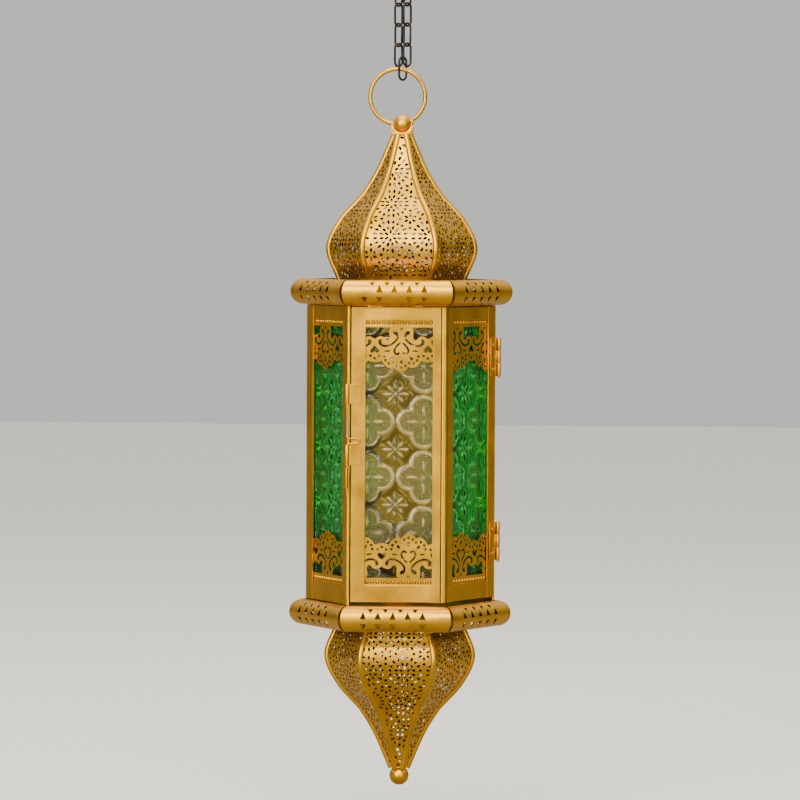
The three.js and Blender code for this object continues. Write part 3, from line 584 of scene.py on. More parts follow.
def wireMesh(name, points, radius, closed=False, sides=12, copies=1, material=None):
    path = pathOf(name + "_path", points, closed)
    mesh = runTree(name, roundWire, {
        "Path": path, "Radius": radius * mm, "Sides": sides, "Copies": copies,
        "Material": material or goldPaint})
    bpy.data.objects.remove(path)
    return mesh


def oval(x, y, length, width, angle, corners=8):
    points = []
    for a in anglesRound(corners, 0.5):
        u = length / 2 * math.cos(a)
        v = width / 2 * math.sin(a)
        points.append((x + u * math.cos(angle) - v * math.sin(angle),
                       y + u * math.sin(angle) + v * math.cos(angle)))
    return points


# Domes
dome = {
    "footRadius": 42.6, "bellyRadius": 49.8, "bellyHeight": 20.6, "kinkRadius": 27, "kinkHeight": 55.5,
    "neckRadius": 11.7, "neckHeight": 83.5, "tipRadius": 6.4, "height": 96, "shoulder": 4, "sag": 1.2,
    "collar": 15.8, "sheet": 0.4, "ribRadius": 2.1, "ribSink": 1.25,
    # Punches: the rosettes' pitch, their rings as count and radius, and the small flower and dots between
    "pitch": 25.4, "rings": [(6, 3.0), (12, 6.0), (20, 10.2)], "hole": (3.2, 1.9),
    "flowerRing": (6, 3.0), "dot": 2.3, "dotReach": 6.7, "lowerScale": 0.86,
    # How the sheet is laid out: what stays plain at the seams and ends, and how close its points stand
    "seam": 1.5, "plainEnd": 1, "underSeam": 0.5, "edgeStep": 1.6, "grid": 1.7, "gridEdge": 1.3,
    "gridStagger": 0.2, "clearOfHole": 0.35, "gridEnd": 0.5,
    "onionSteps": 14, "spireSteps": 12,
    # The plate that closes the tip: its thickness, how far inside the tip it ends and its soft edge
    "cap": 0.6, "capInset": 0.1, "capBevel": 0.3, "capFoot": 0.2, "capHead": 0.4,
}
# Where the big rosettes' lattice stands on each gore: across from the middle, along from the belly
gorePatterns = {
    "upper": {"front": (-5.7, 8.5), "right_front": (4, 2), "right_back": (10, -6), "back": (-2, 6),
              "left_back": (7, -10), "left_front": (-9, 4)},
    "lower": {"front": (5.3, -7.7), "right_front": (-3, 5), "right_back": (8, 10), "back": (0, -3),
              "left_back": (-10, 7), "left_front": (2, 11)},
}


def domeLine():
    # Corner radius and height from the collar's foot to the tip
    middle = ((dome["bellyRadius"] + dome["kinkRadius"]) / 2 + dome["shoulder"],
              (dome["bellyHeight"] + dome["kinkHeight"]) / 2)
    onion = smoothLine([
        (dome["footRadius"], 0), (dome["bellyRadius"], dome["bellyHeight"]), middle,
        (dome["kinkRadius"], dome["kinkHeight"])], dome["onionSteps"])
    spire = []
    steps = dome["spireSteps"]
    for i in range(1, steps + 1):
        t = i / steps
        sag = dome["sag"] * math.sin(math.pi * t)
        spire.append(Vector((
            dome["kinkRadius"] + (dome["neckRadius"] - dome["kinkRadius"]) * t - sag,
            dome["kinkHeight"] + (dome["neckHeight"] - dome["kinkHeight"]) * t)))
    tip = [Vector((dome["tipRadius"], dome["height"]))]
    foot = [Vector((dome["footRadius"], -dome["collar"]))]
    return foot + onion + spire + tip


def goreHoles(shift, radiusAt, first, last, size):
    holes = []
    spots = []
    pitch = dome["pitch"]

    def punch(x, y, length, width, angle):
        if not first + dome["plainEnd"] < y < last - dome["plainEnd"]:
            return
        half = radiusAt(y) / 2 - dome["seam"]
        hole = oval(x, y, length * size, width * size, angle)
        if all(abs(px) < radiusAt(py) / 2 - dome["seam"] for px, py in hole) and abs(x) < half:
            holes.append(hole)
            spots.append((x, y, length / 2))

    def punchRing(cx, cy, count, radius):
        for a in anglesRound(count, 0.5):
            punch(cx + radius * math.cos(a), cy + radius * math.sin(a), *dome["hole"], a)

    # More rows and columns than the gore holds: what falls outside it isn't punched
    latticeRows, latticeColumns = range(-6, 8), range(-3, 4)
    for row in latticeRows:
        for column in latticeColumns:
            cx = shift[0] + column * pitch
            cy = shift[1] + row * pitch
            for count, radius in dome["rings"]:
                punchRing(cx, cy, count, radius)
            cx += pitch / 2
            cy += pitch / 2
            punchRing(cx, cy, *dome["flowerRing"])
            for a in anglesRound(4):
                reach = dome["dotReach"]
                punch(cx + reach * math.cos(a), cy + reach * math.sin(a), dome["dot"], dome["dot"], a)
    return holes, spots


def buildDome(name, nodeName, patterns, footZ, tipUp):
    line = domeLine()
    flat = [(p[0] * math.cos(sideTurn / 2), p[1]) for p in line]
    if not tipUp:
        flat = [(r, -z) for r, z in reversed(flat)]
        line = [Vector((p[0], -p[1])) for p in reversed(line)]
    lengths = [0.0]
    for one, other in zip(flat, flat[1:]):
        lengths.append(lengths[-1] + math.hypot(other[0] - one[0], other[1] - one[1]))
    radii = [p[0] for p in line]

    def radiusAt(y):
        return float(np.interp(y, lengths, radii))

    bellyAt = lengths[radii.index(max(radii))]
    collarAt = lengths[1] if tipUp else lengths[-2]
    first, last = (collarAt, lengths[-1]) if tipUp else (0, collarAt)
    islands = []
    for side, pattern in patterns.items():
        shift = (pattern[0], bellyAt + pattern[1])
        holes, spots = goreHoles(shift, radiusAt, first, last, 1 if tipUp else dome["lowerScale"])
        rows = [float(y) for y in np.arange(0, lengths[-1], dome["edgeStep"])] + [lengths[-1]]
        right = [(radiusAt(y) / 2 - dome["underSeam"], y) for y in rows]
        left = [(-x, y) for x, y in reversed(right)]
        centres = np.array([(s[0], s[1]) for s in spots])
        reaches = np.array([s[2] for s in spots])
        between = []
        for j, y in enumerate(np.arange(dome["grid"], lengths[-1] - dome["gridEnd"], dome["grid"])):
            half = radiusAt(y) / 2 - dome["gridEdge"]
            steps = int(half / dome["grid"])
            for i in range(-steps, steps + 1):
                x = i * half / max(steps, 1) + dome["gridStagger"] * (j % 2)
                away = np.hypot(centres[:, 0] - x, centres[:, 1] - y) - reaches
                if away.min() > dome["clearOfHole"] and abs(x) < half:
                    between.append((x, float(y)))
        islands.append({"outline": right + left, "holes": holes, "between": between, "turn": turnOf(side)})
    profile = [(r, z + footZ) for r, z in flat]
    gores = bentSheet(name + "_gores", islands, profile, dome["sheet"])
    seam = [(p[0] - dome["ribSink"], 0, p[1] + footZ) for p in line]
    ribs = wireMesh(name + "_ribs", seam, dome["ribRadius"], sides=16, copies=6)
    tipZ = footZ + dome["height"] if tipUp else footZ - dome["height"] + dome["cap"]
    capEdge = dome["tipRadius"] - dome["capInset"]
    cap = lathe(name + "_cap", [
        (0, -dome["cap"]), (capEdge - dome["capFoot"], -dome["cap"]), (capEdge, -dome["capBevel"]),
        (capEdge - dome["capHead"], 0), (0, 0)], 24, tipZ)
    return fitted(name, joined(name, [gores, ribs, cap]), bodyOf(nodeName), [nodeName])


def lathe(name, profile, steps, lift=0, x=0, y=0):
    # Radius and height pairs, from the foot's middle to the head's middle, turned about an upright axis
    points = []
    faces = []
    rows = [p for p in profile if p[0] > 0]
    low = profile[0][0] == 0
    high = profile[-1][0] == 0
    for r, z in rows:
        points += [(x + r * math.cos(a), y + r * math.sin(a), z + lift) for a in anglesRound(steps)]
    for j in range(len(rows) - 1):
        for k in range(steps):
            n = (k + 1) % steps
            faces.append((j * steps + k, j * steps + n, (j + 1) * steps + n, (j + 1) * steps + k))
    if low:
        points.append((x, y, profile[0][1] + lift))
        faces += [(len(points) - 1, (k + 1) % steps, k) for k in range(steps)]
    if high:
        points.append((x, y, profile[-1][1] + lift))
        top = (len(rows) - 1) * steps
        faces += [(len(points) - 1, top + k, top + (k + 1) % steps) for k in range(steps)]
    return meshOf(name, points, faces)


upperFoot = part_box("upper_dome")[0].z / mm + dome["collar"]
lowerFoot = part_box("lower_dome")[1].z / mm - dome["collar"]
buildDome("upperDomePierced", "upper_dome", gorePatterns["upper"], upperFoot, True)
buildDome("lowerDomePierced", "lower_dome", gorePatterns["lower"], lowerFoot, False)
print("domes ready")


# Rims: the plates' six flaps, rolled to a half round, mitred and punched
rim = {
    "roll": 8.5, "reach": apothem + 10.28, "lip": 3, "sheet": 0.7, "rollSteps": 28,
    "mitre": 0.3, "mitreBelly": 1.0, "sideBelly": 1.55, "vent": 30, "plate": 0.9, "plateLap": 0.5,
    # Punched triangles: where their rows are centred, their pitch and how much their corners are cut
    "shift": -1.9, "pitch": 9.8, "soft": 0.35,
    # Each row: height of the middle, width, height, which way the point looks, half a pitch over
    "rows": [(3.1, 4.5, 5.2, 1, 0), (-4.7, 4.4, 4.7, -1, 0), (5.9, 3.8, 3.4, -1, 0.5),
             (-7.3, 3.0, 2.6, 1, 0.5)],
    # Punches that the paint has closed on the front flaps: row, place
    "closed": {"top_plate": [(0, 0), (1, 2)], "bottom_plate": [(1, 3), (3, 1)]},
    # Tabs over the door's head: place across, half width
    "tabs": [(-15.0, 4.9), (13.8, 2.3)], "tabDrop": 0.38, "tabRise": 0.4, "tabDepth": 2,
    "tabShy": 0.1, "tabBevel": 0.1,
    # Points of the sheet: rows along its outline, the grid inside, what stays free of it at edges and holes
    "edgeRows": 34, "row": 0.95, "column": 2.4, "gridEdge": 1.2, "clearOfHole": 2.9,
}


def triangleHole(x, y, width, height, up):
    corners = [(-width / 2, -up * height / 2), (width / 2, -up * height / 2), (0, up * height / 2)]
    points = []
    for i, corner in enumerate(corners):
        before = Vector(corners[i - 1]) - Vector(corner)
        after = Vector(corners[(i + 1) % 3]) - Vector(corner)
        for way in (before, after):
            step = way.normalized() * rim["soft"]
            points.append((x + corner[0] + step.x, y + corner[1] + step.y))
    return points


def buildRim(name, nodeName, footZ, vented):
    roll = rim["roll"]
    flatApothem = rim["reach"] - roll
    profile = [(flatApothem - rim["lip"], 0)]
    steps = rim["rollSteps"]
    for i in range(steps + 1):
        a = math.pi * i / steps
        profile.append((flatApothem + roll * math.sin(a), roll - roll * math.cos(a)))
    profile.append((flatApothem - rim["lip"], 2 * roll))
    lengths = [0.0]
    for one, other in zip(profile, profile[1:]):
        lengths.append(lengths[-1] + math.hypot(other[0] - one[0], other[1] - one[1]))
    outs = [p[0] for p in profile]
    whole = lengths[-1]

    def halfAt(y, side, hand):
        # The flaps' ends at the corners to the left and right stand a little further apart
        atSide = (side, hand) in (
            ("right_front", 1), ("right_back", -1), ("left_back", 1), ("left_front", -1))
        belly = rim["sideBelly" if atSide else "mitreBelly"] * math.sin(math.pi * y / whole) ** 2
        return float(np.interp(y, lengths, outs)) * math.tan(sideTurn / 2) - rim["mitre"] - belly

    rows = [whole * i / rim["edgeRows"] for i in range(rim["edgeRows"] + 1)]
    middle = whole / 2
    islands = []
    for side in sideNames:
        outline = [(halfAt(y, side, 1), y) for y in rows]
        outline += [(-halfAt(y, side, -1), y) for y in reversed(rows)]
        holes = []
        for row, (height, width, tall, up, over) in enumerate(rim["rows"]):
            # How far along the sheet a height above the roll's middle lies
            along = roll * math.asin(height / roll)
            for i in range(5 if over == 0 else 4):
                if side == "front" and (row, i) in rim["closed"][nodeName]:
                    continue
                x = rim["shift"] + (i - 2 + over) * rim["pitch"]
                holes.append(triangleHole(x, middle + along, width, tall, up))
        centres = [(sum(p[0] for p in hole) / 6, sum(p[1] for p in hole) / 6) for hole in holes]
        between = []
        rowCount = int(whole / rim["row"])
        for j in range(1, rowCount):
            y = whole * j / rowCount
            right = halfAt(y, side, 1) - rim["gridEdge"]
            left = rim["gridEdge"] - halfAt(y, side, -1)
            columns = int((right - left) / rim["column"])
            for i in range(columns + 1):
                x = left + (right - left) * i / columns
                if all(math.hypot(x - cx, y - cy) > rim["clearOfHole"] for cx, cy in centres):
                    between.append((x, y))
        islands.append({"outline": outline, "holes": holes, "between": between, "turn": turnOf(side)})
    flaps = bentSheet(name + "_flaps", islands, [(r, z + footZ) for r, z in profile], rim["sheet"])
    plateZ = footZ if vented else footZ + 2 * roll - rim["plate"]
    plateReach = flatApothem + rim["plateLap"]
    meshes = [flaps, platePiece(name + "_plate", plateReach, plateZ, rim["vent"] if vented else 0)]
    if vented:
        # Small tabs that show over the door's head
        face, back = apothem - rim["tabShy"], innerFace - rim["tabDepth"]
        low, high = body["height"] - rim["tabDrop"], body["height"] + rim["tabRise"]
        for across, half in rim["tabs"]:
            start, end = across - half, across + half
            plan = [(start, face), (end, face), (end, back), (start, back)]
            meshes.append(bar("front", plan, low, high, rim["tabBevel"]))
    return fitted(name, joined(name, meshes), bodyOf(nodeName), [nodeName], goldPaint)


def bar(side, plan, low, high, bevel=0.25):
    # Sheet metal on a panel: a plan outline raised between two heights, with soft edges
    made = bmesh.new()
    foot = [made.verts.new(onPanel(side, across, out, low) * mm) for across, out in plan]
    head = [made.verts.new(onPanel(side, across, out, high) * mm) for across, out in plan]
    made.faces.new(list(reversed(foot)))
    made.faces.new(head)
    for i in range(len(plan)):
        n = (i + 1) % len(plan)
        made.faces.new((foot[i], foot[n], head[n], head[i]))
    bmesh.ops.recalc_face_normals(made, faces=made.faces)
    bmesh.ops.bevel(made, geom=made.edges, offset=bevel * mm, segments=2, profile=0.5, affect="EDGES")
    return meshFrom(side + "_bar", made)


def platePiece(name, reach, z, vent):
    # A six-sided plate, with a round vent in its middle or without
    steps = 8
    cornerReach = reach / math.cos(sideTurn / 2)
    corners = [Vector((math.cos(k * sideTurn), math.sin(k * sideTurn))) * cornerReach for k in range(7)]
    outer = []
    for one, other in zip(corners, corners[1:]):
        outer += [one.lerp(other, i / steps) for i in range(steps)]
    count = len(outer)
    inner = [Vector((vent * math.cos(a), vent * math.sin(a))) for a in anglesRound(count)]
    points = []
    for height in (z, z + rim["plate"]):
        points += [(p.x, p.y, height) for p in outer]
        points += [(p.x, p.y, height) for p in inner]
    faces = []
    low, high = 0, 2 * count
    for i in range(count):
        n = (i + 1) % count
        faces.append((high + i, high + n, high + count + n, high + count + i))
        faces.append((low + n, low + i, low + count + i, low + count + n))
        faces.append((low + i, low + n, high + n, high + i))
        if vent:
            faces.append((low + count + n, low + count + i, high + count + i, high + count + n))
    if vent:
        return meshOf(name, points, faces)
    made = bmesh.new()
    made.from_mesh(meshOf(name, points, faces))
    bmesh.ops.remove_doubles(made, verts=made.verts, dist=1e-7)
    return meshFrom(name, made)


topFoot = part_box("top_plate")[0].z / mm
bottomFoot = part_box("bottom_plate")[0].z / mm
buildRim("topRimRolled", "top_plate", topFoot, True)
buildRim("bottomRimRolled", "bottom_plate", bottomFoot, False)
print("rims ready")


# Panel frames and corner strips: the rails lie a little deeper than the stiles and run in under them
frameSheet = {"bevel": 0.16, "railSink": 0.22, "railLap": 1, "railShy": 0.1}


def windowMiddle(side):
    return body["windowShift"] if side == "front" else 0


def setbacks(side):
    mitre = body["gap"] / 2 / math.cos(sideTurn / 2)
    left, right = mitre, mitre
    if side == "front":
        left, right = body["edgeSetback"], body["postLeg"] + body["postGroove"]
    if side == "right_front":
        left, right = body["postLeg"] + body["postGroove"], body["edgeSetback"]
    if side == "left_front":
        right = body["latchLeg"] + body["gap"]
    return left, right


def buildFrame(side):
    left, right = setbacks(side)
    door = side in doorSides
    foot = body["doorFloorGap"] if door else 0
    head = body["height"] - (body["doorRoofGap"] if door else 0)
    windowLeft = windowMiddle(side) - windowWidth / 2
    windowRight = windowMiddle(side) + windowWidth / 2
    railFace = apothem - frameSheet["railSink"]
    railBack = innerFace + frameSheet["railShy"]
    railLeft = windowLeft - frameSheet["railLap"]
    railRight = windowRight + frameSheet["railLap"]
    leftStile = [(-halfSide(apothem, left), apothem), (windowLeft, apothem), (windowLeft, innerFace),
                 (-halfSide(innerFace, left), innerFace)]
    rightStile = [(windowRight, apothem), (halfSide(apothem, right), apothem),
                  (halfSide(innerFace, right), innerFace), (windowRight, innerFace)]
    rail = [(railLeft, railFace), (railRight, railFace), (railRight, railBack), (railLeft, railBack)]
    meshes = [bar(side, stile, foot, head, frameSheet["bevel"]) for stile in (leftStile, rightStile)]
    meshes += [bar(side, rail, foot + frameSheet["railShy"], windowFoot),
               bar(side, rail, windowHead, head - frameSheet["railShy"])]
    nodeName = side + "_frame"
    name = side + "FrameSheet"
    fitted(name, joined(name, meshes, "sheet"), bodyOf(nodeName), [nodeName], goldPaint)


for side in sideNames:
    buildFrame(side)


def nextPanel(across, out):
    # A point of the next panel, seen from this one
    turned = Matrix.Rotation(sideTurn, 2) @ Vector((across, -out))
    return turned.x, -turned.y


postFace = halfSide(apothem, body["postLeg"])
postBack = halfSide(innerFace, body["postLeg"])
cornerPlan = [(postFace, apothem), (halfSide(apothem), apothem), nextPanel(-postFace, apothem),
              nextPanel(-postBack, innerFace), (halfSide(innerFace), innerFace), (postBack, innerFace)]
cornerPost = bar("front", cornerPlan, body["doorFloorGap"], body["height"] - body["doorRoofGap"])
cornerStrip = joined("doorCornerStrip", [cornerPost], "sheet")
fitted("doorCornerStrip", cornerStrip, "door", ["door_corner_post"], goldPaint)

# The latch strip's edge is folded a little way round the corner
latchFold = {"face": 1.7, "edge": 1.0, "depth": 1.2, "bevel": 0.15}
latchOut = apothem + body["latchProud"]
latchInner = halfSide(apothem, body["latchLeg"])
latchPlan = [
    (latchInner, latchOut), (halfSide(latchOut, latchFold["face"]), latchOut),
    (halfSide(latchOut, latchFold["edge"]), latchOut - latchFold["depth"]),
    (halfSide(innerFace, body["gap"]), innerFace), (latchInner, innerFace)]
latchPost = bar("left_front", latchPlan, 0, body["height"], latchFold["bevel"])
latchStrip = joined("latchStrip", [latchPost], "sheet")
fitted("latchStrip", latchStrip, "lantern", ["latch_post"], goldPaint)
print("frames ready")


# Stamped lace: one motif of scrolls, hearts, drops and dots, repeated along each strip
lace = {
    "period": 35, "lap": 2.3, "sheet": 0.6, "out": innerFace - body["gap"],
    "beadPitch": 3.46, "beadCount": 13, "beadDrop": 1.6,
    # Rings of a stamped bead: radius and how far the sheet stands out there
    "bead": [(1.4, 0), (1.1, -0.42), (0.72, 0.3), (0.38, 0.52), (0, 0.6)],
    # The punch cuts a little wider than its drawing; a dot's radius; what stays plain at the strip's ends
    "widen": 0.16, "dot": 1.0, "plainEnd": 0.7, "leastHole": 0.5,
    # A slit's ends reach this share of its width; how pointed a drop is; how full a lobe is, in its points
    "slitEnd": 0.8, "dropPoint": 0.55, "lobeFullness": 0.8, "lobeSteps": 8, "edgeClear": 0.1,
}
# How far the motif's middle stands from the window's, on each side
laceShifts = {
    "top": {"front": 1.3, "right_front": -14.9, "right_back": 5, "back": -9, "left_back": 12,
            "left_front": -6.6},
    "bottom": {"front": 6.6, "right_front": -9, "right_back": -4, "back": 10, "left_back": -13,
               "left_front": -2},
}
# Half a motif's scalloped edge: from, to, depth at each end and how far the lobe swells
laceLobes = [(-4.9, 4.9, 30.4, 30.4, 3.6), (4.9, 12.9, 30.4, 26.4, 2.5), (12.9, 22.1, 26.4, 26.4, 1.1),
             (22.1, 30.1, 26.4, 30.4, 2.5)]
# The opening between two motifs under the band, about its own middle: right half, from the middle outwards
laceOpening = [(0, 12.3), (1.4, 11.4), (3.8, 10.5), (6.1, 11.3), (7.2, 12.6), (8.4, 13.1), (9.5, 12.2),
               (9.9, 10.6), (9.7, 8.9), (9.6, 7.2), (9.9, 5.7), (10.6, 4.6)]
# Scroll slit from the curl's eye to the hook's eye: x, depth, half width
laceScroll = [(-5.0, 7.8, 0.8), (-4.1, 8.3, 1.15), (-3.1, 9.0, 0.95), (-2.5, 10.2, 0.58),
              (-2.7, 11.9, 0.55), (-4.5, 14.2, 0.55), (-7.1, 16.0, 0.55), (-10.5, 16.9, 0.58),
              (-13.0, 16.2, 0.65), (-14.2, 14.7, 0.9), (-14.0, 13.5, 0.95), (-13.5, 12.9, 0.55)]
# Slit on each side of the heart in the motif's middle, written in the same way
laceHeartSlit = [(-0.85, 14.9, 0.45), (-2.6, 16.4, 0.55), (-4.2, 18.6, 0.56), (-4.65, 20.4, 0.56),
                 (-3.8, 21.8, 0.56), (-2.4, 22.2, 0.56), (-1.4, 21.3, 0.5)]
# Heart-shaped opening between two motifs, its right half; the small nick over the motif; the dots' places
laceHeart = [(0, 16.4), (1.2, 17.4), (2.5, 18.9), (3.05, 20.1), (2.6, 21.1), (1.5, 21.4), (0.5, 20.9),
             (0, 20.3)]
laceTriangle = [(-1.2, 4.9), (1.2, 4.9), (0.35, 6.7), (-0.35, 6.7)]
laceDots = [(0, 31.2), (2.8, 30.0), (5.1, 28.1), (8.2, 28.3), (10.5, 26.2), (11.2, 23.6), (14.7, 23.3)]
# A long cut beside the heart, and drops under it: place, depth, length, width, lean from level or upright
laceCut = (9.1, 20.2, 4.1, 1.25, 0.12)
laceSideDrop = (6.4, 24.9, 3.2, 1.9, 0.75)
laceMiddleDrop = (0, 26.7, 3.6, 2.0, 0)
laceJunctionDot = 25.0


def slit(path, sign):
    # A slot of changing width along a path of points, with rounded ends
    line = smoothLine([(sign * x, -y, w + lace["widen"]) for x, y, w in path], 3)
    left = []
    right = []
    for i, p in enumerate(line):
        ahead = line[min(i + 1, len(line) - 1)]
        back = line[max(i - 1, 0)]
        way = Vector((ahead.x - back.x, ahead.y - back.y)).normalized()
        left.append((p.x - way.y * p.z, p.y + way.x * p.z))
        right.append((p.x + way.y * p.z, p.y - way.x * p.z))
    ends = []
    for tip, before in ((line[0], line[1]), (line[-1], line[-2])):
        beyond = Vector((tip.x - before.x, tip.y - before.y)).normalized() * tip.z * lace["slitEnd"]
        ends.append((tip.x + beyond.x, tip.y + beyond.y))
    return [ends[0]] + right + [ends[1]] + list(reversed(left))


def drop(x, depth, length, width, angle):
    # A teardrop with its point at the angle's side
    points = []
    for a in anglesRound(12):
        along = length / 2 * math.cos(a)
        wide = width / 2 * math.sin(a) * (1 - lace["dropPoint"] * math.cos(a))
        points.append((x + along * math.cos(angle) - wide * math.sin(angle),
                       -depth + along * math.sin(angle) + wide * math.cos(angle)))
    return points


def motifHoles(x):
    # All the cut-outs of the motif whose middle is at x, and of the junction on its right
    def dotAt(px, depth):
        return oval(px, -depth, 2 * lace["dot"], 2 * lace["dot"], 0, 10)

    def dropAt(sign, px, depth, length, width, lean):
        return drop(sign * px, depth, length, width, math.pi / 2 + sign * lean)

    holes = []
    for sign in (1, -1):
        holes.append(slit(laceScroll, sign))
        holes.append(slit(laceHeartSlit, sign))
        px, depth, length, width, lean = laceCut
        holes.append(oval(sign * px, -depth, length, width, -sign * lean, 10))
        holes.append(dropAt(sign, *laceSideDrop))
        holes += [dotAt(sign * px, depth) for px, depth in laceDots if px]
    holes.append(dropAt(1, *laceMiddleDrop))
    holes.append(dotAt(*laceDots[0]))
    holes.append([(px, -depth) for px, depth in laceTriangle])
    junction = lace["period"] / 2
    heart = laceHeart + [(-px, depth) for px, depth in reversed(laceHeart[1:-1])]
    holes.append([(px + junction, -depth) for px, depth in heart])
    holes.append(dotAt(junction, laceJunctionDot))
    half = smoothLine(laceOpening, 3)
    full = [(p.x, p.y) for p in half] + [(-p.x, p.y) for p in reversed(half[1:])]
    holes.append([(px + junction, -depth) for px, depth in full])
    return [[(px + x, py) for px, py in hole] for hole in holes]


def clipped(hole, half):
    # A hole that the window's edge cuts keeps what lies inside the window
    kept = []
    for i, p in enumerate(hole):
        q = hole[(i + 1) % len(hole)]
        pin, qin = abs(p[0]) <= half, abs(q[0]) <= half
        if pin:
            kept.append(p)
        if pin != qin:
            limit = half if max(p[0], q[0]) > half else -half
            t = (limit - p[0]) / (q[0] - p[0])
            kept.append((limit, p[1] + (q[1] - p[1]) * t))
    return kept


def laceIsland(side, place):
    half = windowWidth / 2 + lace["lap"]
    flip = place == "bottom"
    shift = laceShifts[place][side] * (-1 if flip else 1)
    edge = []
    for period in range(-3, 4):
        for x0, x1, d0, d1, swell in laceLobes:
            for i in range(lace["lobeSteps"]):
                t = i / lace["lobeSteps"]
                x = shift + period * lace["period"] + x0 + (x1 - x0) * t
                lobe = swell * math.sin(math.pi * t) ** lace["lobeFullness"]
                edge.append((x, -(d0 + (d1 - d0) * t + lobe)))
    edge = [p for p in edge if abs(p[0]) < half - lace["edgeClear"]]
    outline = [(half, lace["lap"]), (-half, lace["lap"]), (-half, edge[0][1])] + edge
    outline.append((half, edge[-1][1]))
    holes = []
    for period in range(-2, 3):
        for hole in motifHoles(shift + period * lace["period"]):
            whole = clipped(hole, half - lace["plainEnd"])
            xs = [p[0] for p in whole]
            if len(whole) > 3 and max(xs) - min(xs) > lace["leastHole"]:
                holes.append(whole)
    middle = windowMiddle(side)
    if flip:
        outline = [(-x, -y) for x, y in outline]
        holes = [[(-x, -y) for x, y in hole] for hole in holes]
    base = windowFoot if flip else windowHead
    loops = [[(x + middle, y + base) for x, y in loop] for loop in [outline] + holes]
    beads = []
    beadUp = base + (lace["beadDrop"] if flip else -lace["beadDrop"])
    for k in range(lace["beadCount"]):
        x = middle + lace["beadPitch"] * (k - (lace["beadCount"] - 1) / 2)
        for radius, out in lace["bead"]:
            for a in anglesRound(12 if radius else 1):
                beads.append((x + radius * math.cos(a), beadUp + radius * math.sin(a), out))
    return {"outline": loops[0], "holes": loops[1:], "between": beads, "turn": turnOf(side)}


def buildLace(side, place):
    nodeName = side + "_lace_" + place
    name = side + "Lace" + place.capitalize()
    upright = [(lace["out"], panelFoot), (lace["out"], panelFoot + body["height"])]
    strip = bentSheet(name, [laceIsland(side, place)], upright, lace["sheet"])
    fitted(name, joined(name, [strip], "stamped"), bodyOf(nodeName), [nodeName], goldPaint)


for side in sideNames:
    for place in ("top", "bottom"):
        buildLace(side, place)
print("lace ready")


# Pressed glass: quatrefoils and eight-petalled flowers raised on the pane's outer face
glass = {
    "lap": 3, "sideLap": 5.2, "back": 49.25, "face": 51.45, "step": 0.48,
    "ridge": 0.7, "lattice": 36.5, "acrossShift": -19.5, "upShift": 120.9,
    # The quatrefoil: four lobes with a broad inner ridge and a fine outer one
    "lobeReach": 8.7, "lobeRadius": 7.3, "outerRadius": 8.6, "core": 6, "innerWidth": 0.75,
    "outerWidth": 0.5, "outerShare": 0.45, "pebblesFrom": 0.9, "pebbleEdge": 8,
    # Its petals reach from the boss towards the lobes; short ribs cross between them
    "lobePetal": (3.6, 11.2), "lobePetalWidth": 1.25, "ribReach": 4.4, "ribWidth": 0.5, "boss": 1.3,
    # The flower between the quatrefoils: where its petals begin, the long and the short ones' reach
    "petals": 8, "petalStart": 1.2, "petalReach": (8.7, 7.2), "petalWidth": 1.35, "flowerBoss": 1.1,
    # Heights as shares of the ridge; a boss over 1 has a flat top. The painted highlight tint is full
    # before the crest
    "lobePetalRise": 0.9, "ribRise": 0.5, "bossRise": 1.4, "flowerBossRise": 1.3, "borderRise": 0.95,
    "borderFrom": 0.5, "tintGain": 1.15, "tintFrom": 0.1,
    # How full the petals are, how far out the flower's are widest, and the width left at their tips
    "lobePetalFullness": 0.6, "petalFullness": 0.8, "petalWidest": 1.3, "petalTip": 1e-3,
    # Inside its core the quatrefoil counts as this far within its lobes
    "coreDepth": 3,
}


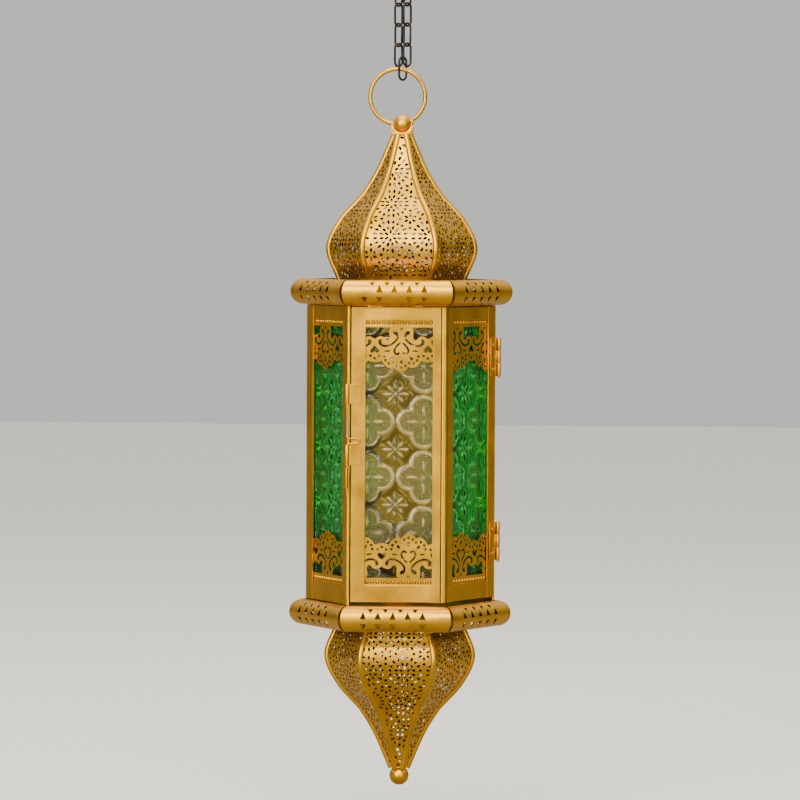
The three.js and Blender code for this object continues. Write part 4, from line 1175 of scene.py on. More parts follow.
def glassRelief(across, up, middle):
    pitch = glass["lattice"]
    mx = (across - glass["acrossShift"] + pitch / 2) % pitch - pitch / 2
    my = (up - glass["upShift"] + pitch / 2) % pitch - pitch / 2
    reach = glass["lobeReach"]
    lobes = np.minimum.reduce([np.hypot(mx - dx, my - dy) for dx, dy in
                               ((reach, 0), (-reach, 0), (0, reach), (0, -reach))])
    centre = np.hypot(mx, my)
    inner = lobes - glass["lobeRadius"]
    outer = lobes - glass["outerRadius"]
    inner = np.where(centre < glass["core"], -glass["coreDepth"], inner)
    outer = np.where(centre < glass["core"], -glass["coreDepth"], outer)
    relief = glass["ridge"] * np.exp(-(inner / glass["innerWidth"]) ** 2)
    relief += glass["outerShare"] * glass["ridge"] * np.exp(-(outer / glass["outerWidth"]) ** 2)
    pebbled = 1 / (1 + np.exp((inner + glass["pebblesFrom"]) * glass["pebbleEdge"]))
    # Four petals from the quatrefoil's middle, and a boss
    first, last = glass["lobePetal"]
    for a in anglesRound(4):
        u = mx * math.cos(a) + my * math.sin(a)
        v = -mx * math.sin(a) + my * math.cos(a)
        t = np.clip((u - first) / (last - first), 0, 1)
        full = np.sin(np.pi * t) ** glass["lobePetalFullness"]
        wide = glass["lobePetalWidth"] * full + glass["petalTip"]
        petal = np.clip(1 - (v / wide) ** 2, 0, 1) * (u > first) * (u < last)
        relief = np.maximum(relief, glass["ridge"] * glass["lobePetalRise"] * np.sqrt(petal))
        pebbled = pebbled * (1 - (petal > 0))
    ribs = np.exp(-((np.abs(mx) - np.abs(my)) / glass["ribWidth"]) ** 2) * (centre < glass["ribReach"])
    relief = np.maximum(relief, glass["ridge"] * glass["ribRise"] * ribs)
    boss = np.clip(glass["bossRise"] - centre / glass["boss"], 0, 1)
    relief = np.maximum(relief, glass["ridge"] * boss)
    # The flower stands between the quatrefoils
    fx = (mx + pitch) % pitch - pitch / 2
    fy = (my + pitch) % pitch - pitch / 2
    away = np.hypot(fx, fy)
    first = glass["petalStart"]
    for k, a in enumerate(anglesRound(glass["petals"])):
        last = glass["petalReach"][k % 2]
        u = fx * math.cos(a) + fy * math.sin(a)
        v = -fx * math.sin(a) + fy * math.cos(a)
        t = np.clip((u - first) / (last - first), 0, 1)
        full = np.sin(np.pi * t ** glass["petalWidest"]) ** glass["petalFullness"]
        wide = glass["petalWidth"] * full + glass["petalTip"]
        petal = np.clip(1 - np.abs(v) / wide, 0, 1) * (u > first) * (u < last)
        relief = np.maximum(relief, glass["ridge"] * petal)
    boss = np.clip(glass["flowerBossRise"] - away / glass["flowerBoss"], 0, 1)
    relief = np.maximum(relief, glass["ridge"] * boss)
    relief = np.minimum(relief, glass["ridge"])
    # Painted highlight: how much of the light tint each point takes, from its height
    raised = np.clip(relief / glass["ridge"] * glass["tintGain"] - glass["tintFrom"], 0, 1)
    # A plain raised border, hidden behind the frame, fills the pane's seat
    past = np.abs(across - middle) - windowWidth / 2
    end = np.maximum(windowFoot - up, up - windowHead)
    border = np.maximum(past, end) > glass["borderFrom"]
    relief = np.where(border, glass["ridge"] * glass["borderRise"], relief)
    return relief, pebbled * ~border, np.where(border, 0, raised)


def buildPane(side):
    half = windowWidth / 2 + glass["sideLap"]
    middle = windowMiddle(side)
    low, high = windowFoot - glass["lap"], windowHead + glass["lap"]
    columns = int(2 * half / glass["step"])
    rows = int((high - low) / glass["step"])
    xs = middle + np.linspace(-half, half, columns + 1)
    ys = np.linspace(low, high, rows + 1)
    across, up = np.meshgrid(xs, ys)
    relief, pebbled, raised = glassRelief(across, up, middle)
    out = glass["face"] + relief
    turn = turnOf(side)
    x = out * math.cos(turn) - across * math.sin(turn)
    y = out * math.sin(turn) + across * math.cos(turn)
    points = np.stack([x, y, up + panelFoot], -1).reshape(-1, 3).tolist()
    wide = columns + 1
    faces = []
    for j in range(rows):
        for i in range(columns):
            a = j * wide + i
            faces.append((a, a + 1, a + wide + 1, a + wide))
    # The face's outline, walked round, carries the edges down to the flat back
    rimLoop = list(range(wide))
    rimLoop += [j * wide + columns for j in range(1, rows + 1)]
    rimLoop += [rows * wide + i for i in range(columns - 1, -1, -1)]
    rimLoop += [j * wide for j in range(rows - 1, 0, -1)]
    first = len(points)
    flatAcross = across.reshape(-1)
    flatUp = up.reshape(-1)
    for i in rimLoop:
        points.append(list(onPanel(side, float(flatAcross[i]), glass["back"], float(flatUp[i]))))
    count = len(rimLoop)
    for i in range(count):
        n = (i + 1) % count
        faces.append((rimLoop[n], rimLoop[i], first + i, first + n))
    points.append(list(onPanel(side, middle, glass["back"], (low + high) / 2)))
    hub = len(points) - 1
    faces += [(first + (i + 1) % count, first + i, hub) for i in range(count)]
    nodeName = side + "_glass"
    name = side + "PressedPane"
    mesh = meshOf(name, points, faces)
    smooth(mesh, "stamped")
    layer = mesh.uv_layers.new(name="pane")
    spots = np.concatenate([np.stack([flatAcross, flatUp], -1), np.zeros((count + 1, 2))])
    corners = np.empty(len(mesh.loops), int)
    mesh.loops.foreach_get("vertex_index", corners)
    layer.data.foreach_set("uv", spots[corners].astype(np.float32).reshape(-1))
    for label, values, rest in (("pebbled", pebbled, 0.0), ("raised", raised, 1.0)):
        mask = np.concatenate([values.reshape(-1), np.full(count + 1, rest)]).astype(np.float32)
        mesh.attributes.new(label, "FLOAT", "POINT").data.foreach_set("value", mask)
    slotName = "clear_glass" if side in clearSides else "green_glass"
    fitted(name, mesh, bodyOf(nodeName), [nodeName], slotMaterials[slotName])


for side in sideNames:
    buildPane(side)
print("panes ready")


# Chain: oval links of two strands that hang side by side; wear is the rubbed end and how softly it fades
chain = {"length": 16.7, "width": 8, "wire": 1.5, "levels": 5, "turn": -math.pi / 4,
         "steps": 32, "sides": 10, "wearReach": 3.4, "wearFade": 2.2}
strandWay = Vector((math.cos(chain["turn"]), math.sin(chain["turn"]), 0))


def linkLine(centre, facing):
    # An oval link whose flat side turns to the given direction
    bend = (chain["width"] - chain["wire"]) / 2
    stretch = (chain["length"] - chain["width"]) / 2
    flat = Vector((-facing.y, facing.x, 0))
    points = []
    for a in anglesRound(chain["steps"]):
        apart = (math.sin(a) > 0) - (math.sin(a) < 0)
        up = bend * math.sin(a) + stretch * apart
        points.append(centre + flat * (bend * math.cos(a)) + Vector((0, 0, up)))
    return points


def linkFor(nodeName):
    low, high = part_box(nodeName)
    centre = (low + high) / 2 / mm
    crosswise = Vector((-strandWay.y, strandWay.x, 0))
    if nodeName == "chain_ring_link":
        facing = strandWay
    else:
        facing = strandWay if int(nodeName[-1]) % 2 else crosswise
    line = linkLine(centre, facing)
    mesh = wireMesh(nodeName + "_wire", line, chain["wire"] / 2, True, chain["sides"], material=blackSteel)
    smooth(mesh, "wire")
    reach = [abs(v.co.z / mm - centre.z) for v in mesh.vertices]
    wornFrom = chain["length"] / 2 - chain["wearReach"]
    wear = [min(max((r - wornFrom) / chain["wearFade"], 0), 1) for r in reach]
    mesh.attributes.new("wear", "FLOAT", "POINT").data.foreach_set("value", wear)
    fitted(nodeName + "_wire", mesh, bodyOf(nodeName), [nodeName])


for level in range(1, chain["levels"] + 1):
    for strandName in ("left", "right"):
        linkFor("chain_link_%s_%d" % (strandName, level))
linkFor("chain_ring_link")

# Hanging ring, and the ball threaded on it
ring = {"radius": 18.35, "wire": 1.35, "steps": 96, "sides": 16, "tilt": math.radians(10), "ball": 6}
ringLow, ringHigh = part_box("hanging_ring")
ringCentre = (ringLow + ringHigh) / 2 / mm
ringLine = [ringCentre + Vector((math.cos(a), 0, math.sin(a))) * ring["radius"]
            for a in anglesRound(ring["steps"])]
ringMesh = wireMesh("hangingRingWire", ringLine, ring["wire"], True, ring["sides"])
smooth(ringMesh, "wire")
fitted("hangingRingWire", ringMesh, "ring", ["hanging_ring"])
print("chain and ring ready")


def loopLathe(name, profile, steps):
    # A closed loop of radius and height pairs turned about an upright axis, as a drilled ball needs
    points = []
    for r, z in profile:
        points += [(r * math.cos(a), r * math.sin(a), z) for a in anglesRound(steps)]
    faces = []
    for j in range(len(profile)):
        m = (j + 1) % len(profile)
        for k in range(steps):
            n = (k + 1) % steps
            faces.append((j * steps + k, j * steps + n, m * steps + n, m * steps + k))
    return meshOf(name, points, faces)


def moved(mesh, x, y, z, turn=None):
    if turn:
        mesh.transform(turn)
    mesh.transform(Matrix.Translation(Vector((x, y, z)) * mm))
    return mesh


# Top ball and its yoke: the ring's wire runs through a flared bore in both
pivotZ = (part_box("top_ball")[0].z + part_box("top_ball")[1].z) / 2 / mm
yoke = {"inside": 6.3, "sheet": 0.85, "ear": 3.4, "earDrop": 1.5, "edge": 0.2, "play": 0.12,
        "foot": -7.2, "top": -1.0, "width": 3.4, "hollow": 5.97, "bevel": 0.15, "earSteps": 48,
        "hollowSteps": 24}


def boreAt(s):
    # The bore widens from the ball's middle as the ring's wire curves away
    return ring["wire"] + yoke["play"] + s * s / (2 * ring["radius"])


ball = {"boreEnd": 5.55, "roundSteps": 32, "boreSteps": 12, "around": 48}
boreTurn = math.asin(boreAt(ball["boreEnd"]) / ring["ball"])
ballLoop = []
for i in range(ball["roundSteps"] + 1):
    a = boreTurn + (math.pi - 2 * boreTurn) * i / ball["roundSteps"]
    ballLoop.append((ring["ball"] * math.sin(a), -ring["ball"] * math.cos(a)))
for i in range(1, ball["boreSteps"]):
    s = ball["boreEnd"] - 2 * ball["boreEnd"] * i / ball["boreSteps"]
    ballLoop.append((boreAt(s), s))
ballMesh = moved(loopLathe("topBallDrilled", ballLoop, ball["around"]), 0, 0, pivotZ,
                 Matrix.Rotation(math.pi / 2 - ring["tilt"], 4, "Y"))
smooth(ballMesh, "turned")
fitted("topBallDrilled", ballMesh, "lantern", ["top_ball"], goldPaint)


def earMesh(sign):
    # A round-headed ear with its bore, standing across X
    middle = yoke["inside"] + yoke["sheet"] / 2
    rise = sign * math.tan(ring["tilt"]) * middle
    toFoot = rise + yoke["earDrop"]
    bore = boreAt(middle)
    steps = yoke["earSteps"]
    edge = yoke["edge"]
    layers = []
    for depth, shrink in ((0, edge), (edge, 0), (yoke["sheet"] - edge, 0), (yoke["sheet"], edge)):
        x = sign * (yoke["inside"] + depth)
        layer = []
        for a in anglesRound(steps):
            wide, tall = abs(math.cos(a)), math.sin(a)
            reach = yoke["ear"] - shrink
            if tall < 0:
                # Straight sides and a straight foot below the round head
                reach = min((yoke["ear"] - shrink) / max(wide, 1e-6), (toFoot - shrink) / -tall)
            layer.append((x, reach * math.cos(a), rise + reach * math.sin(a)))
        layers.append(layer)
    for depth in (yoke["sheet"], 0):
        x = sign * (yoke["inside"] + depth)
        layers.append([(x, bore * math.cos(a), rise + bore * math.sin(a)) for a in anglesRound(steps)])
    points = [p for layer in layers for p in layer]
    faces = []
    for j in range(len(layers)):
        m = (j + 1) % len(layers)
        for k in range(steps):
            n = (k + 1) % steps
            faces.append((j * steps + k, j * steps + n, m * steps + n, m * steps + k))
    made = bmesh.new()
    made.from_mesh(meshOf("ear", points, faces))
    bmesh.ops.recalc_face_normals(made, faces=made.faces)
    return meshFrom("ear", made)


def saddle():
    # The block under the ball, hollowed to its round and as wide as the ears
    half, outer, hollow = yoke["width"], yoke["inside"] + yoke["sheet"], yoke["hollow"]
    top = yoke["top"]
    lipTurn = math.asin(-top / hollow)
    section = [(-outer, yoke["foot"]), (outer, yoke["foot"]), (outer, top)]
    for i in range(yoke["hollowSteps"] + 1):
        a = -lipTurn - (math.pi - 2 * lipTurn) * i / yoke["hollowSteps"]
        section.append((hollow * math.cos(a), hollow * math.sin(a)))
    section.append((-outer, top))
    made = bmesh.new()
    near = [made.verts.new(Vector((x, -half, z)) * mm) for x, z in section]
    far = [made.verts.new(Vector((x, half, z)) * mm) for x, z in section]
    made.faces.new(near)
    made.faces.new(list(reversed(far)))
    for i in range(len(section)):
        n = (i + 1) % len(section)
        made.faces.new((near[n], near[i], far[i], far[n]))
    bmesh.ops.recalc_face_normals(made, faces=made.faces)
    rims = [e for e in made.edges if abs(e.verts[0].co.y - e.verts[1].co.y) < 1e-6]
    bmesh.ops.bevel(made, geom=rims, offset=yoke["bevel"] * mm, segments=2, profile=0.5, affect="EDGES")
    return meshFrom("saddle", made)


yokeParts = [moved(part, 0, 0, pivotZ) for part in (earMesh(1), earMesh(-1), saddle())]
yokeMesh = joined("ringYokeStrap", yokeParts)
fitted("ringYokeStrap", yokeMesh, "lantern", ["ring_yoke"], goldPaint)

# Finial ball, with a small flat where it sits on the tip
finial = {"radius": 6.5, "seat": 1.6, "steps": 27, "around": 48}
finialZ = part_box("finial_ball")[0].z / mm + finial["radius"]
seatTurn = math.acos((finial["radius"] - finial["seat"]) / finial["radius"])
finialProfile = [(0, -finial["radius"])]
for i in range(1, finial["steps"] + 1):
    a = math.pi - (math.pi - seatTurn) * i / finial["steps"]
    finialProfile.append((finial["radius"] * math.sin(a), finial["radius"] * math.cos(a)))
finialProfile.append((0, finial["radius"] - finial["seat"]))
finialMesh = lathe("finialBallTurned", finialProfile, finial["around"], finialZ)
smooth(finialMesh, "turned")
fitted("finialBallTurned", finialMesh, "lantern", ["finial_ball"], goldPaint)

# Candle cup: a drawn cup with a rolled lip
cup = {"radius": 21, "height": 14, "wall": 0.8, "corner": 2.0, "lip": 0.5, "lipIn": 0.15, "lipDown": 0.12,
       "cornerSteps": 6, "around": 64,
       # The small round in the floor's inner corner: how far in from the wall, and the height
       "innerRound": [(0, 2.0), (0.4, 1.3), (1.2, 0.8)]}
cupInside = cup["radius"] - cup["wall"]
cupProfile = [(0, 0), (cup["radius"] - cup["corner"], 0)]
for i in range(1, cup["cornerSteps"] + 1):
    a = math.pi / 2 * i / cup["cornerSteps"]
    cupProfile.append((cup["radius"] - cup["corner"] * (1 - math.sin(a)),
                       cup["corner"] * (1 - math.cos(a))))
# Over the rolled lip and down inside to the floor
cupProfile += [
    (cup["radius"], cup["height"] - cup["lip"]),
    (cup["radius"] - cup["lipIn"], cup["height"] - cup["lipDown"]),
    (cup["radius"] - cup["wall"] / 2, cup["height"]),
    (cupInside + cup["lipIn"], cup["height"] - cup["lipDown"]),
    (cupInside, cup["height"] - cup["lip"])]
cupProfile += [(cupInside - inset, rise) for inset, rise in cup["innerRound"]]
cupProfile.append((0, cup["wall"]))
cupMesh = lathe("candleCupDrawn", cupProfile, cup["around"], panelFoot)
smooth(cupMesh)
fitted("candleCupDrawn", cupMesh, "lantern", ["candle_cup"], goldPaint)
print("ball, yoke, finial and cup ready")

# Butt hinges: rolled leaves, domed rivets and headed pins
hinge = {
    "height": 25.4, "barrel": 1.5, "curl": 1.3, "curlEnd": 208, "curlSteps": 24, "sheet": 0.6, "leaf": 7,
    "gap": 0.3, "pinSides": 20,
    "leafBevel": 0.15, "curlBevel": 0.08, "rivet": 1.1, "rivetHead": 0.5, "rivetSetback": 3.85,
    "rivetInset": 4.5,
    # The pin's head, from its flat top to its shank: radius and how far it stands out of the barrel
    "head": [(0, 0.9), (0.8, 0.9), (1.15, 0.7), (1.2, 0.4), (1.1, 0.3), (0.6, 0.3)],
}
leafFoot = apothem + hinge["gap"]
barrelX = (leafFoot + hinge["barrel"]) / math.cos(sideTurn / 2)
barrelOut = barrelX * math.cos(sideTurn / 2)
barrelAcross = barrelX * math.sin(sideTurn / 2)


def arc(radius, first, last, steps):
    turns = [math.radians(first + (last - first) * i / steps) for i in range(steps + 1)]
    return [(radius * math.cos(a), radius * math.sin(a)) for a in turns]


def curlPlan(radius, across, out, hand, tail, end):
    # A sheet that runs in under the pin and curls up round it; hand +1 has its leaf on the left
    inside = radius - hinge["sheet"]
    steps = hinge["curlSteps"]
    plan = [(-tail, -radius)] + arc(radius, -90, end, steps) + arc(inside, end, -90, steps)
    plan.append((-tail, -inside))
    return [(across + hand * x, out + y) for x, y in plan]


def hingeLeaf(side, foot, name, nodeName, hand, spans):
    bare = hinge["barrel"] + hinge["gap"]
    near = barrelAcross - bare
    far = near - hinge["leaf"]
    leafFace = leafFoot + hinge["sheet"]
    plan = [(hand * across, out) for across, out in (
        (far, leafFace), (near, leafFace), (near, leafFoot), (far, leafFoot))]
    meshes = [bar(side, plan, foot, foot + hinge["height"], hinge["leafBevel"])]
    knuckle = curlPlan(hinge["curl"], hand * barrelAcross, barrelOut, hand, bare + 1, hinge["curlEnd"])
    meshes += [bar(side, knuckle, foot + low, foot + high, hinge["curlBevel"]) for low, high in spans]
    rivetAcross = hand * (near - hinge["rivetSetback"])
    first = onPanel(side, rivetAcross, leafFace, foot + hinge["rivetInset"]) * mm
    step = Vector((0, 0, (hinge["height"] - 2 * hinge["rivetInset"]) * mm))
    size = Vector((hinge["rivetHead"], hinge["rivet"], hinge["rivet"])) * mm
    meshes.append(runTree(name + "_rivets", beadRow, {
        "Count": 2, "Start": first, "Step": step, "Size": size, "Turn": turnOf(side),
        "Material": goldPaint}))
    fitted(name, joined(name, meshes, "sheet"), bodyOf(nodeName), [nodeName], goldPaint)


# The door's knuckle is the middle third, the fixed leaf has the two others
third = hinge["height"] / 3
knuckleGap = hinge["gap"] / 2
doorSpans = [(third + knuckleGap, 2 * third - knuckleGap)]
fixedSpans = [(0, third - knuckleGap), (2 * third + knuckleGap, hinge["height"])]
pinProfile = [(r, -rise) for r, rise in hinge["head"]]
pinProfile += [(r, hinge["height"] + rise) for r, rise in reversed(hinge["head"])]
for level in ("lower", "upper"):
    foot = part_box(level + "_hinge_door_leaf")[0].z / mm - panelFoot
    hingeLeaf("right_front", foot, level + "HingeDoorLeaf", level + "_hinge_door_leaf", 1, doorSpans)
    hingeLeaf("right_back", foot, level + "HingeFixedLeaf", level + "_hinge_fixed_leaf", -1, fixedSpans)
    pinMesh = lathe(level + "HingePin", pinProfile, hinge["pinSides"], foot + panelFoot, barrelX, 0)
    smooth(pinMesh, "turned")
    fitted(level + "HingePin", pinMesh, "lantern", [level + "_hinge_pin"], goldPaint)
print("hinges ready")

# Latch: two rolled sleeves and a keeper, and the bent wire that slides in them
latch = {
    "roll": 1.5, "sheet": 0.6, "gap": 0.3, "sleeve": 13.1, "keeperFoot": 77.5, "lowerFoot": 92.6,
    "upperFoot": 132.8, "leaf": 7.6, "leafStart": 1.2, "leafBend": 2.4, "rollTail": 1.6, "rollEnd": 190,
    "rollBevel": 0.08, "leafBevel": 0.14,
    # The keeper's curl is open between these angles from its face, on the side to which the door swings
    "keeperLeaf": 4.6, "mouth": 36, "keeperEnd": 216.9, "keeperSteps": (8, 32, 20),
    # The bolt's wire, its end below the keeper's foot and inside the upper sleeve's head, and the U handle
    "wire": 0.55, "tail": 4.5, "inset": 1.9, "reach": 8, "handle": 4.6, "elbow": 0.9, "noseIn": 0.5,
    "noseUp": 0.45,
    # The wire is bent by hand: points under and over the handle, across and up from its limbs
    "underHandle": [(0, -3), (0.05, -0.9)], "overHandle": [(-0.1, 1.0), (-0.22, 3.0), (-0.2, 9.0), (0, 16)],
}
latchOff = apothem + body["latchProud"] + latch["gap"] + latch["roll"]
latchAcross = -latchOff * math.tan(sideTurn / 2)
leafBack = apothem + latch["gap"]
leafFront = leafBack + latch["sheet"]
leafDip = latchOff - latch["roll"] - leafBack
leafEnd = latchAcross + latch["roll"] + latch["leaf"]
# The leaf lies on the door a little deeper than the roll's underside
sleeveLeaf = [
    (latchAcross + latch["leafStart"], leafBack + leafDip), (latchAcross + latch["leafBend"], leafBack),
    (leafEnd, leafBack), (leafEnd, leafFront), (latchAcross + latch["leafBend"], leafFront),
    (latchAcross + latch["leafStart"], leafFront + leafDip)]
sleeveRoll = curlPlan(latch["roll"], latchAcross, latchOff, -1, latch["rollTail"], latch["rollEnd"])
for level in ("lower", "upper"):
    nodeName = level + "_bolt_sleeve"
    foot = latch[level + "Foot"]
    meshes = [bar("front", sleeveRoll, foot, foot + latch["sleeve"], latch["rollBevel"]),
              bar("front", sleeveLeaf, foot, foot + latch["sleeve"], latch["leafBevel"])]
    name = nodeName.title().replace("_", "")
    fitted(name, joined(name, meshes, "sheet"), "door", [nodeName], goldPaint)

mouth = latch["mouth"]
rollInside = latch["roll"] - latch["sheet"]
keeperEdge = -latch["roll"] - latch["keeperLeaf"]
mouthSteps, insideSteps, outsideSteps = latch["keeperSteps"]
keeperPlan = [(keeperEdge, -latch["roll"])] + arc(latch["roll"], -90, -mouth, mouthSteps)
keeperPlan += arc(rollInside, -mouth, mouth - 360, insideSteps)
keeperPlan += arc(latch["roll"], mouth, latch["keeperEnd"], outsideSteps)
keeperPlan.append((keeperEdge, -rollInside))
keeperPlan = [(x - latchAcross, latchOff + y) for x, y in keeperPlan]
keeperHead = latch["keeperFoot"] + latch["sleeve"]
keeperRoll = bar("left_front", keeperPlan, latch["keeperFoot"], keeperHead, latch["rollBevel"])
keeperMesh = joined("boltKeeperRolled", [keeperRoll], "sheet")
fitted("boltKeeperRolled", keeperMesh, "lantern", ["bolt_keeper"], goldPaint)

# The bolt from its lower end, out along the U handle's lower limb and back along the upper one, and up
limb = latch["lowerFoot"] + latch["sleeve"] + latch["gap"] + latch["wire"]
upperLimb = limb + latch["handle"] - 2 * latch["wire"]
nose = (upperLimb - limb) / 2
noseSide = latch["reach"] - latch["noseIn"]
boltLine = [(0, latch["keeperFoot"] - latch["tail"])]
boltLine += [(across, limb + up) for across, up in latch["underHandle"]]
boltLine += [
    (latch["elbow"], limb), (latch["reach"] / 2, limb), (latch["reach"] - nose, limb),
    (noseSide, limb + latch["noseUp"]), (latch["reach"], limb + nose),
    (noseSide, upperLimb - latch["noseUp"]), (latch["reach"] - nose, upperLimb),
    (latch["reach"] / 2, upperLimb), (latch["elbow"], upperLimb)]
boltLine += [(across, upperLimb + up) for across, up in latch["overHandle"]]
boltLine.append((0, latch["upperFoot"] + latch["sleeve"] - latch["inset"]))
boltPoints = [onPanel("front", latchAcross + p[0], latchOff, p[1]) for p in smoothLine(boltLine, 5)]
boltMesh = wireMesh("latchBoltWire", boltPoints, latch["wire"], sides=12)
smooth(boltMesh, "stamped")
fitted("latchBoltWire", boltMesh, "bolt", ["latch_bolt"], wornGold)
print("latch ready")

# Ceiling hook and plate
hook = {"wire": 1.5, "trim": 0.98, "run": 8.5, "bend": 5, "upstand": 9, "neck": 1, "boss": 6, "sunk": 0.4,
        # How the shank sweeps out of the neck: share of the reach, drop
        "sweep": [(0.4, 3), (0.88, 5.5), (1, 8.5)]}
hookLow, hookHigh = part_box("ceiling_hook")
hookTop = hookHigh.z / mm
runZ = hookLow.z / mm + hook["wire"]
hookReach = hook["run"] / 2 + hook["bend"]
bendCut = hook["bend"] * (1 - math.sqrt(0.5))
neckZ = hookTop - hook["boss"] - hook["neck"]
hookLine = [(0, hookTop - hook["sunk"]), (0, (hookTop + neckZ) / 2), (0, neckZ)]
hookLine += [(hookReach * share, neckZ - fall) for share, fall in hook["sweep"]]
hookLine += [
    (hookReach, runZ + hook["bend"]), (hookReach - bendCut, runZ + bendCut), (hook["run"] / 2, runZ),
    (-hook["run"] / 2, runZ), (-hookReach + bendCut, runZ + bendCut), (-hookReach, runZ + hook["bend"]),
    (-hookReach, runZ + hook["upstand"])]
hookPoints = [strandWay * p[0] + Vector((0, 0, p[1])) for p in smoothLine(hookLine, 6)]
hookWire = hook["wire"] * hook["trim"]
hookMesh = wireMesh("ceilingHookWire", hookPoints, hookWire, sides=16, material=blackSteel)
smooth(hookMesh, "stamped")
fitted("ceilingHookWire", hookMesh, "hanger", ["ceiling_hook"])

# Ceiling plate: a disc with two screw holes, its soft edge and the boss that holds the hook
canopy = {"radius": 19, "thickness": 3, "boss": 4.5, "bossLength": 6, "bore": 1.8, "screw": 2.2,
          "spacing": 13, "discIn": 0.6, "discSteps": 72, "bossSteps": 40, "holeSteps": 32}


def punchedDisc(name, radius, holes, low, high):
    # A disc with round holes, each hole a radius and a place
    loops = [[(radius * math.cos(a), radius * math.sin(a)) for a in anglesRound(canopy["discSteps"])]]
    loops += [oval(x, y, 2 * r, 2 * r, 0, canopy["holeSteps"]) for r, x, y in holes]
    places = []
    owners = []
    edges = []
    for number, loop in enumerate(loops):
        first = len(places)
        places += [Vector(p) for p in loop]
        owners += [number] * len(loop)
        edges += [(first + i, first + (i + 1) % len(loop)) for i in range(len(loop))]
    made = triangulated(places, edges)
    source = [ids[0] for ids in made[3]]
    origin = [owners[i] for i in source]
    # A triangle whose corners all lie on one screw hole fills that hole and is left out
    caps = [t for t in made[2] if len({origin[i] for i in t}) > 1 or origin[t[0]] == 0]
    count = len(places)
    points = [(p.x, p.y, low) for p in places] + [(p.x, p.y, high) for p in places]
    faces = [[source[i] + count for i in t] for t in caps]
    faces += [[source[i] for i in reversed(t)] for t in caps]
    for a, b in edges:
        faces.append((a, b, b + count, a + count))
    shaped = bmesh.new()
    shaped.from_mesh(meshOf(name, points, faces))
    bmesh.ops.recalc_face_normals(shaped, faces=shaped.faces)
    return meshFrom(name, shaped)


screws = [(canopy["screw"], canopy["spacing"], 0), (canopy["screw"], -canopy["spacing"], 0)]
underside = -canopy["thickness"]
bossEnd = underside - canopy["bossLength"]
disc = punchedDisc("canopyDisc", canopy["radius"] - canopy["discIn"], screws, underside, 0)
# Corners of the edge and the boss: how far past the disc's or the boss's radius, and the height
edgeCorners = [(-0.7, underside), (-0.2, underside + 0.25), (0, underside + 0.8), (0, -0.5), (-0.3, 0),
               (-0.7, 0)]
edgeProfile = [(canopy["radius"] + past, z) for past, z in edgeCorners]
bossCorners = [(-0.5, bossEnd), (0, bossEnd + 0.6), (0.1, underside - 0.6), (0.5, underside + 0.3)]
bossProfile = [(canopy["bore"], bossEnd)] + [(canopy["boss"] + past, z) for past, z in bossCorners]
bossProfile.append((canopy["bore"], underside + 0.3))
canopyMesh = joined("ceilingPlateTurned", [
    disc, loopLathe("canopyEdge", edgeProfile, canopy["discSteps"]),
    loopLathe("canopyBoss", bossProfile, canopy["bossSteps"])])
fitted("ceilingPlateTurned", canopyMesh, "hanger", ["ceiling_plate"], blackSteel)
print("ceiling gear ready")

# Studio: the paper floor is pale to the eye, also through the glass, and dim in the metal's reflections
paperLook = {"reach": 6, "under": 0.03, "seen": (0.82, 0.81, 0.79, 1), "mirrored": (0.20, 0.19, 0.17, 1),
             "Roughness": 0.9}
floorZ = cadBounds[0][2] - paperLook["under"]
floorCorners = [(paperLook["reach"] * x, paperLook["reach"] * y, floorZ)
                for x, y in ((-1, -1), (1, -1), (1, 1), (-1, 1))]
floorMesh = meshOf("studioFloor", floorCorners, [(0, 1, 2, 3)], 1)
floor = objectOf("studioFloor", floorMesh)
paper = bpy.data.materials.new("studio_paper")
paper.use_nodes = True
paperTree = paper.node_tree
paperShader = paperTree.nodes["Principled BSDF"]
paperShader.inputs["Roughness"].default_value = paperLook["Roughness"]
paperPath = node(paperTree, "ShaderNodeLightPath").outputs
seen = calc(paperTree, "MAXIMUM", paperPath["Is Camera Ray"], paperPath["Is Transmission Ray"])
paperTone = node(paperTree, "ShaderNodeMix", {0: seen, 6: paperLook["mirrored"], 7: paperLook["seen"]},
                 data_type="RGBA")
paperTree.links.new(paperTone.outputs[2], paperShader.inputs["Base Color"])
floorMesh.materials.append(paper)

# The camera sees a plain pale backdrop; what metal mirrors is dim at eye level and bright overhead, with a
# soft fill from the front, and what shows through the glass is nearly as bright as the backdrop
sky = {
    "backdrop": (0.80, 0.80, 0.78, 1), "shown": 0.80, "mirrored": (1.0, 0.96, 0.87, 1),
    "throughGlass": 0.95, "level": 0.20, "high": 1.3, "rise": (0.05, 0.9), "front": 0.28,
    "frontFade": (0.7, 1.0),
}
world = bpy.data.worlds.new("studio")
bpy.context.scene.world = world
world.use_nodes = True
worldTree = world.node_tree
backdrop = worldTree.nodes["Background"]
backdrop.inputs["Color"].default_value = sky["backdrop"]
backdrop.inputs["Strength"].default_value = sky["shown"]
way = node(worldTree, "ShaderNodeTexCoord").outputs["Generated"]
ways = node(worldTree, "ShaderNodeSeparateXYZ", {0: way}).outputs
above = node(worldTree, "ShaderNodeMapRange", {
    "Value": ways["Z"], "From Min": sky["rise"][0], "From Max": sky["rise"][1],
    "To Min": sky["level"], "To Max": sky["high"]}, interpolation_type="SMOOTHSTEP")
ahead = node(worldTree, "ShaderNodeMapRange", {
    "Value": calc(worldTree, "MULTIPLY", ways["Y"], -1.0),
    "From Min": sky["frontFade"][0], "From Max": sky["frontFade"][1],
    "To Min": 0.0, "To Max": sky["front"]}, interpolation_type="SMOOTHSTEP")
around = calc(worldTree, "ADD", above.outputs[0], ahead.outputs[0])
worldPath = node(worldTree, "ShaderNodeLightPath").outputs
strength = node(worldTree, "ShaderNodeMix", {
    0: worldPath["Is Transmission Ray"], 2: around, 3: sky["throughGlass"]})
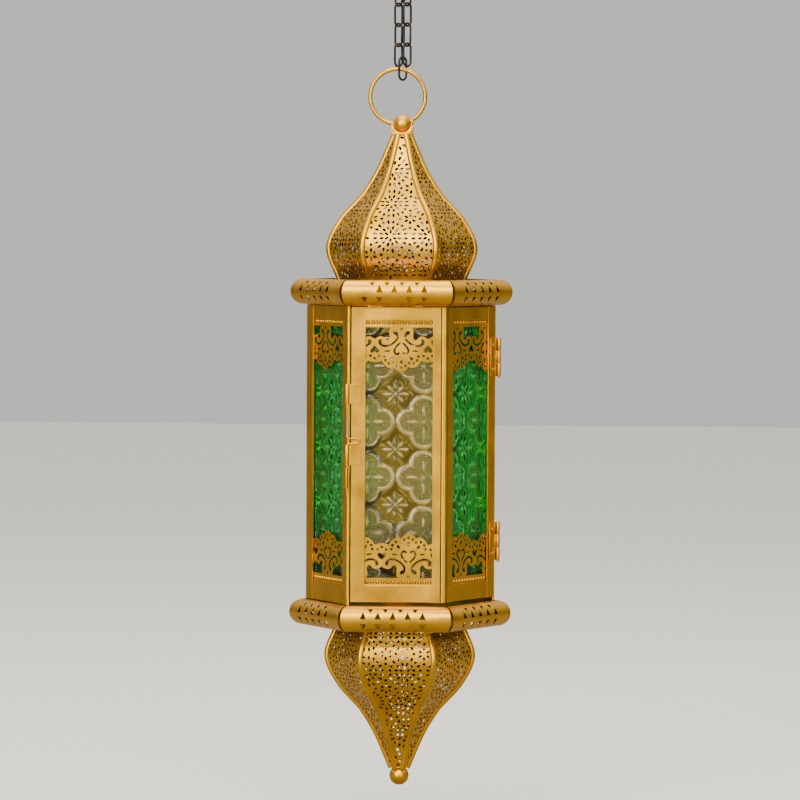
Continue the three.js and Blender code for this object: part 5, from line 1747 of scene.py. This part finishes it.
mirrored = node(worldTree, "ShaderNodeBackground", {
    "Color": sky["mirrored"], "Strength": strength.outputs[0]})
mixed = node(worldTree, "ShaderNodeMixShader", {
    0: worldPath["Is Camera Ray"], 1: mirrored.outputs[0], 2: backdrop.outputs[0]})
worldTree.links.new(mixed.outputs[0], worldTree.nodes["World Output"].inputs["Surface"])


# Soft lights: where each stands, what it looks at, width and height, power and tint. The narrow strips are
# there for their images, which run along the glass's ridges
middleOfBody = (0, 0, -0.33)
studioLights = {
    "leftSoftbox": ((-1.05, -2.0, 0.25), middleOfBody, (0.75, 1.5), 30, (1.0, 0.93, 0.78)),
    "rightSoftbox": ((1.15, -2.0, 0.0), middleOfBody, (0.6, 1.4), 7, (1.0, 0.93, 0.78)),
    "highSoftbox": ((0.0, -1.5, 1.15), middleOfBody, (1.3, 0.6), 18, (1.0, 0.94, 0.80)),
    "overhead": ((0.0, 0.3, 1.5), (0, 0.3, -0.6), (1.6, 1.6), 34, (1.0, 0.96, 0.86)),
    "leftStrip": ((-0.80, -2.0, 0.0), middleOfBody, (0.05, 1.5), 9, (1.0, 0.95, 0.82)),
    "rightStrip": ((0.70, -2.0, 0.0), middleOfBody, (0.05, 1.5), 7, (1.0, 0.95, 0.82)),
    "highStrip": ((0.0, -1.9, 0.75), middleOfBody, (1.3, 0.05), 9, (1.0, 0.95, 0.82)),
}
for lightName, (place, aim, size, power, tint) in studioLights.items():
    lamp = bpy.data.lights.new(lightName, "AREA")
    lamp.shape = "RECTANGLE"
    lamp.size, lamp.size_y = size
    lamp.energy = power
    lamp.color = tint
    light = objectOf(lightName, lamp)
    light.location = place
    light.rotation_euler = (Vector(aim) - Vector(place)).to_track_quat("-Z", "Y").to_euler()
print("studio ready")

# The photograph's viewpoint: a little to the right, looking slightly down
view = {"distance": 3.04, "azimuth": 2.5, "height": -0.1962, "pitch": 2.28, "lens": 204.7, "roll": -0.3,
        "shiftX": -0.0024, "sensor": 36, "clipStart": 0.05}
azimuth = math.radians(view["azimuth"])
cameraData = bpy.data.cameras.new("photoCamera")
cameraData.lens = view["lens"]
cameraData.sensor_width = view["sensor"]
cameraData.shift_x = view["shiftX"]
cameraData.clip_start = view["clipStart"]
camera = objectOf("photoCamera", cameraData)
camera.location = (
    view["distance"] * math.sin(azimuth), -view["distance"] * math.cos(azimuth), view["height"])
camera.rotation_euler = (math.radians(90 - view["pitch"]), math.radians(view["roll"]), azimuth)
bpy.context.scene.camera = camera

bpy.context.view_layer.update()
